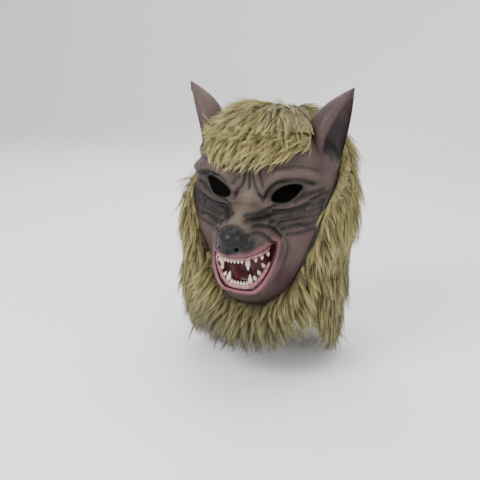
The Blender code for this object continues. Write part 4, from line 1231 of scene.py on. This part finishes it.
def comb_of(node, spots, normals):
    """Which way the hair lies at each spot, a vector for each."""
    x, y, z = spots.T
    flat = np.hypot(x, y) + 1e-6
    outward = np.stack([x / flat, y / flat, 0 * z], -1)
    down = np.broadcast_to((0.0, 0.0, -1.0), spots.shape)
    if node == "forelock_fur":
        way = np.stack([-0.55 - 6 * x, -0.75 + 0 * y, -0.75 + 0 * z], -1)
    elif node == "beard_fur":
        way = down + 0.25 * outward + np.stack([7 * x, 0 * y, 0 * z], -1)
    else:
        beside = beside_face(spots)
        backward = np.sign(x)[:, None] * np.stack([-y / flat, x / flat, 0 * z], -1)
        way = down + 0.12 * outward + 0.55 * beside[:, None] * backward
        from_whorl = np.stack([x - WHORL[0], y - WHORL[1], 0 * z], -1)
        crown = np.clip((z + 0.040) / 0.035, 0, 1)[:, None]
        way = (1 - crown) * unit(way) + crown * (unit(from_whorl + 1e-5) + 0.25 * down)
    tangent = way - normals * np.sum(way * normals, axis=1, keepdims=True)
    return unit(unit(tangent + 1e-6) + HAIR_LIFT[node] * normals)


def make_undercoat(node, name, finish):
    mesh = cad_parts[node].data.copy()
    work = bmesh.new()
    work.from_mesh(mesh)
    bmesh.ops.remove_doubles(work, verts=work.verts, dist=1e-5)
    work.to_mesh(mesh)
    work.free()
    mesh.materials.clear()
    wool = new_object(name, mesh, finish)
    melt = wool.modifiers.new("melt", "REMESH")
    melt.mode = "VOXEL"
    melt.voxel_size = UNDERCOAT_GRAIN
    melt.use_smooth_shade = True
    soft = wool.modifiers.new("soften", "SMOOTH")
    soft.factor = 0.6
    soft.iterations = 6
    applied(wool)
    mesh = wool.data
    spots = np.array([v.co for v in mesh.vertices])
    normals = np.array([v.normal for v in mesh.vertices])
    spots -= normals * (UNDERCOAT_SINK[node] * (1 - 0.85 * beside_face(spots)))[:, None]
    mesh.vertices.foreach_set("co", spots.ravel())
    comb = comb_of(node, spots, normals)
    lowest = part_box(node)[0][2]
    room = (spots[:, 2] - lowest + HAIR_HANG) / np.maximum(-comb[:, 2], 0.25)
    length = np.clip(room, 0.4 * HAIR_LENGTH[node], HAIR_LENGTH[node])
    length = np.minimum(length, HAIR_BY_EARS + 0.7 * ear_distance(spots))
    for axis in (0, 1):
        for sign, edge in ((1, CAD_BOX[1][axis]), (-1, -CAD_BOX[0][axis])):
            free = edge + HAIR_PROUD - sign * spots[:, axis]
            length = np.minimum(length, free / (np.maximum(sign * comb[:, axis], 0) + HAIR_STRAY))
    length = np.maximum(length, HAIR_LEAST)
    low = np.clip((CROWN_RISE - spots[:, 2]) / HOOD_DROP, 0, 1.3)
    # Darker towards the bottom: over the lowest 100 mm of the mane and beard, and down the mane's lower half
    low_darkening = np.clip(1.25 - (spots[:, 2] - lowest) / 0.080, 0, 1) * (node != "forelock_fur")
    low_darkening = np.maximum(low_darkening, 0.6 * np.clip(low - 0.5, 0, 1) * (node == "mane_fur"))
    mesh.attributes.new("comb", "FLOAT_VECTOR", "POINT").data.foreach_set("vector", comb.ravel())
    mesh.attributes.new("hair_length", "FLOAT", "POINT").data.foreach_set("value", length)
    mesh.attributes.new("low_darkening", "FLOAT", "POINT").data.foreach_set("value", low_darkening)
    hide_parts(node)
    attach(wool, "root")
    return wool


FUR_ROOT = (0.080, 0.064, 0.018)
FUR_BODY = (0.330, 0.272, 0.066)
FUR_TIP = (0.660, 0.580, 0.230)
# Colour the hair darkens to towards the bottom of the fur
FUR_LOW_DARK = (0.028, 0.027, 0.022)


def fur_finish(name, woolly):
    paint = Finish(name)
    streak = paint.noise(520.0, 3.0, 0.6, paint.stretched((1.0, 1.0, 0.12)))
    patch = paint.noise(22.0, 3.0)
    if woolly:
        tone, fade = streak, 0.5
        colour = paint.mix(paint.range(streak, 0.35, 0.68), FUR_ROOT, FUR_BODY)
    else:
        tone, along = paint.mark("tone"), paint.mark("along")
        fade = paint.range(along, 0.0, 0.55, 0.25, 1.0)
        colour = paint.mix(paint.range(along, 0.0, 0.5), FUR_ROOT, FUR_BODY)
        colour = paint.mix(paint.range(along, 0.35, 1.0), colour, FUR_TIP)
    shade = paint.sum("MULTIPLY", paint.range(tone, 0.0, 1.0), 0.55)
    colour = paint.mix(shade, colour, (0.150, 0.118, 0.045))
    colour = paint.mix(paint.range(patch, 0.52, 0.72, 0.0, 0.55), colour, (0.105, 0.092, 0.030))
    # Hair darker towards the bottom of the fur, more so away from the root
    low_dark = paint.sum("MULTIPLY", paint.mark("low_darkening"), fade, clamp=True)
    colour = paint.mix(low_dark, colour, FUR_LOW_DARK)
    rough = paint.range(streak, 0.3, 0.7, 0.50, 0.72)
    return paint.finish(colour, rough, paint.bump(streak, 0.0012, 0.7), Sheen_Weight=0.15)


WOOL_PAINT = fur_finish("undercoat_wool", True)
HAIR_PAINT = fur_finish("guard_hair", False)
WOOL = {}
for node, word in (("mane_fur", "mane"), ("forelock_fur", "forelock"), ("beard_fur", "beard")):
    WOOL[node] = make_undercoat(node, f"undercoat_{word}", WOOL_PAINT)
    print(WOOL[node].name, len(WOOL[node].data.polygons), "faces")

# %% [markdown]
# Guard hairs clump into locks. A few kinds of lock are made once, one unit long, from arrays of thin
# three-sided strands that meet towards the tip. Geometry nodes then stand a lock on each of thousands of
# evenly spread points, turned along the comb and scaled to its length, with a tone of its own.

# %% Locks of fur
LOCK_KINDS = 4
# Locks for each square of the spacing
PACKING = 0.9
STRANDS = 6
STRAND_LEVELS = (0.0, 0.42, 0.78)
STRAND_WIDTH = 0.011
LOCK_SPREAD = 0.080
LOCK_BOW = 0.06


def strand(dice):
    """Points, faces and root-to-tip shares of one strand."""
    foot = dice.uniform(-1, 1, 2) * LOCK_SPREAD
    meet = dice.uniform(-1, 1, 2) * 0.035
    sway = dice.uniform(-1, 1, 2) * 0.06
    long = dice.uniform(0.72, 1.0)
    turn = dice.uniform(0, 2 * pi)
    points, shares = [], []
    for t in STRAND_LEVELS + (1.0,):
        centre = foot * (1 - t) + meet * t + sway * sin(pi * t) * 0.5
        spot = np.array((centre[0], centre[1] + LOCK_BOW * sin(pi * min(t * 1.1, 1)), long * t))
        if t == 1.0:
            points.append(spot)
            shares.append(1.0)
            continue
        width = STRAND_WIDTH * (1 - 0.65 * t)
        for k in range(3):
            a = turn + 2 * pi * k / 3
            points.append(spot + width * np.array((cos(a), 0.6 * sin(a), 0)))
            shares.append(t)
    rings = len(STRAND_LEVELS)
    faces = [(2, 1, 0)]
    for r in range(rings - 1):
        faces += [(3 * r + k, 3 * r + (k + 1) % 3, 3 * r + 3 + (k + 1) % 3, 3 * r + 3 + k) for k in range(3)]
    faces += [(3 * rings - 3 + k, 3 * rings - 3 + (k + 1) % 3, 3 * rings) for k in range(3)]
    return points, faces, shares


def make_lock(kind):
    dice = np.random.default_rng(kind)
    points, faces, shares = [], [], []
    for _ in range(STRANDS):
        spots, corners, along = strand(dice)
        faces += [tuple(len(points) + c for c in corner) for corner in corners]
        points += spots
        shares += along
    mesh = bpy.data.meshes.new(f"lock_{kind}")
    mesh.from_pydata([tuple(p) for p in points], [], faces)
    mesh.attributes.new("along", "FLOAT", "POINT").data.foreach_set("value", shares)
    mesh.shade_smooth()
    lock = bpy.data.objects.new(f"lock_{kind}", mesh)
    bpy.context.scene.collection.objects.link(lock)
    return lock


def lock_tree(locks, finish):
    """Geometry nodes: locks on a surface, along its comb."""
    tree = bpy.data.node_groups.new("locks_on_surface", "GeometryNodeTree")
    sockets = tree.interface
    sockets.new_socket("Surface", in_out="INPUT", socket_type="NodeSocketGeometry")
    for word, value in (("Spacing", 0.005), ("Locks per square metre", 30000.0), ("Unruliness", 0.2)):
        sockets.new_socket(word, in_out="INPUT", socket_type="NodeSocketFloat").default_value = value
    sockets.new_socket("Seed", in_out="INPUT", socket_type="NodeSocketInt")
    sockets.new_socket("Fur", in_out="OUTPUT", socket_type="NodeSocketGeometry")

    def add(kind, inputs=None, **settings):
        return add_node(tree, kind, inputs, **settings)

    def named(word, kind="FLOAT"):
        return add("GeometryNodeInputNamedAttribute", {"Name": word}, data_type=kind).outputs["Attribute"]

    given = add("NodeGroupInput").outputs
    spread = add(
        "GeometryNodeDistributePointsOnFaces",
        {
            "Mesh": given["Surface"],
            "Distance Min": given["Spacing"],
            "Density Max": given["Locks per square metre"],
            "Density Factor": named("pile"),
            "Seed": given["Seed"],
        },
        distribute_method="POISSON",
    ).outputs
    ends = {0: (-1, -1, -1), 1: (1, 1, 1), "Seed": 3}
    stray = add("FunctionNodeRandomValue", ends, data_type="FLOAT_VECTOR").outputs[0]
    scaled = {0: stray, "Scale": given["Unruliness"]}
    stray = add("ShaderNodeVectorMath", scaled, operation="SCALE").outputs[0]
    both = {0: named("comb", "FLOAT_VECTOR"), 1: stray}
    way = add("ShaderNodeVectorMath", both, operation="ADD").outputs[0]
    along = add("FunctionNodeAlignRotationToVector", {"Vector": way}, axis="Z").outputs["Rotation"]
    upright = add(
        "FunctionNodeAlignRotationToVector",
        {"Rotation": along, "Vector": spread["Normal"]},
        axis="Y",
        pivot_axis="Z",
    ).outputs["Rotation"]
    size = add("FunctionNodeRandomValue", {2: 0.72, 3: 1.18, "Seed": 5}, data_type="FLOAT").outputs[1]
    size = add("ShaderNodeMath", {0: named("hair_length"), 1: size}, operation="MULTIPLY").outputs[0]
    kinds = add("GeometryNodeJoinGeometry")
    for lock in locks:
        one = add("GeometryNodeObjectInfo", {"Object": lock, "As Instance": True}).outputs["Geometry"]
        tree.links.new(one, kinds.inputs[0])
    stood = add(
        "GeometryNodeInstanceOnPoints",
        {
            "Points": spread["Points"],
            "Instance": kinds.outputs[0],
            "Pick Instance": True,
            "Rotation": upright,
            "Scale": size,
        },
    ).outputs[0]
    tone = add("FunctionNodeRandomValue", {2: 0.0, 3: 1.0, "Seed": 7}, data_type="FLOAT").outputs[1]
    toned = add(
        "GeometryNodeStoreNamedAttribute",
        {"Geometry": stood, "Name": "tone", "Value": tone},
        data_type="FLOAT",
        domain="INSTANCE",
    ).outputs[0]
    real = add("GeometryNodeRealizeInstances", {"Geometry": toned}).outputs[0]
    painted = add("GeometryNodeSetMaterial", {"Geometry": real, "Material": finish}).outputs[0]
    add("NodeGroupOutput", {"Fur": painted})
    return tree


def make_fur(name, node, mask, tree, spacing, seed):
    """Locks over the part of a node's undercoat where `mask` of the spots and normals is true."""
    surface = WOOL[node].data.copy()
    spots = np.array([v.co for v in surface.vertices])
    normals = np.array([v.normal for v in surface.vertices])
    pile = np.where(mask(spots, normals), 1.0, 0.0)
    surface.attributes.new("pile", "FLOAT", "POINT").data.foreach_set("value", pile)
    piece = bpy.data.objects.new(name, surface)
    bpy.context.scene.collection.objects.link(piece)
    growth = piece.modifiers.new("fur", "NODES")
    growth.node_group = tree
    values = {
        "Spacing": spacing,
        "Locks per square metre": PACKING / spacing**2,
        "Unruliness": HAIR_STRAY,
        "Seed": seed,
    }
    for item in tree.interface.items_tree:
        if item.in_out == "INPUT" and item.name in values:
            growth[item.identifier] = values[item.name]
    applied(piece)
    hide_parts(node)
    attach(piece, "root")
    return piece


def outer_side(spots, normals):
    """True on the side of the fur that shows, away from the head and off the ears."""
    level = spots[:, :2] - (0, 0.02)
    outward = np.sum(unit(level) * normals[:, :2], axis=1)
    shows = (outward > -0.15) | ((normals[:, 2] > 0.3) & (spots[:, 2] > -0.04))
    return shows & (ear_distance(spots) > 0.004)


def region(side=0, back=False, crown=False):
    def mask(spots, normals):
        x, y, z = spots.T
        on_crown = z > -0.03
        on_back = ~on_crown & (y > 0.06)
        if crown:
            found = on_crown
        elif back:
            found = on_back
        elif side:
            found = ~on_crown & ~on_back & (x * side > 0)
        else:
            found = np.ones(len(x), bool)
        return found & outer_side(spots, normals)

    return mask


LOCKS = [make_lock(kind) for kind in range(LOCK_KINDS)]
LOCK_TREE = lock_tree(LOCKS, HAIR_PAINT)
FUR_PIECES = (
    # name, node, where, spacing, seed
    ("fur_crown", "mane_fur", region(crown=True), 0.0040, 11),
    ("fur_back", "mane_fur", region(back=True), 0.0052, 12),
    ("fur_left", "mane_fur", region(side=1), 0.0038, 13),
    ("fur_right", "mane_fur", region(side=-1), 0.0038, 14),
    ("fur_forelock", "forelock_fur", region(), 0.0030, 15),
    ("fur_beard", "beard_fur", region(), 0.0034, 16),
)
for name, node, where, spacing, seed in FUR_PIECES:
    piece = make_fur(name, node, where, LOCK_TREE, spacing, seed)
    print(name, sum(len(p.vertices) - 2 for p in piece.data.polygons), "triangles")
for lock in LOCKS:
    bpy.data.objects.remove(lock)
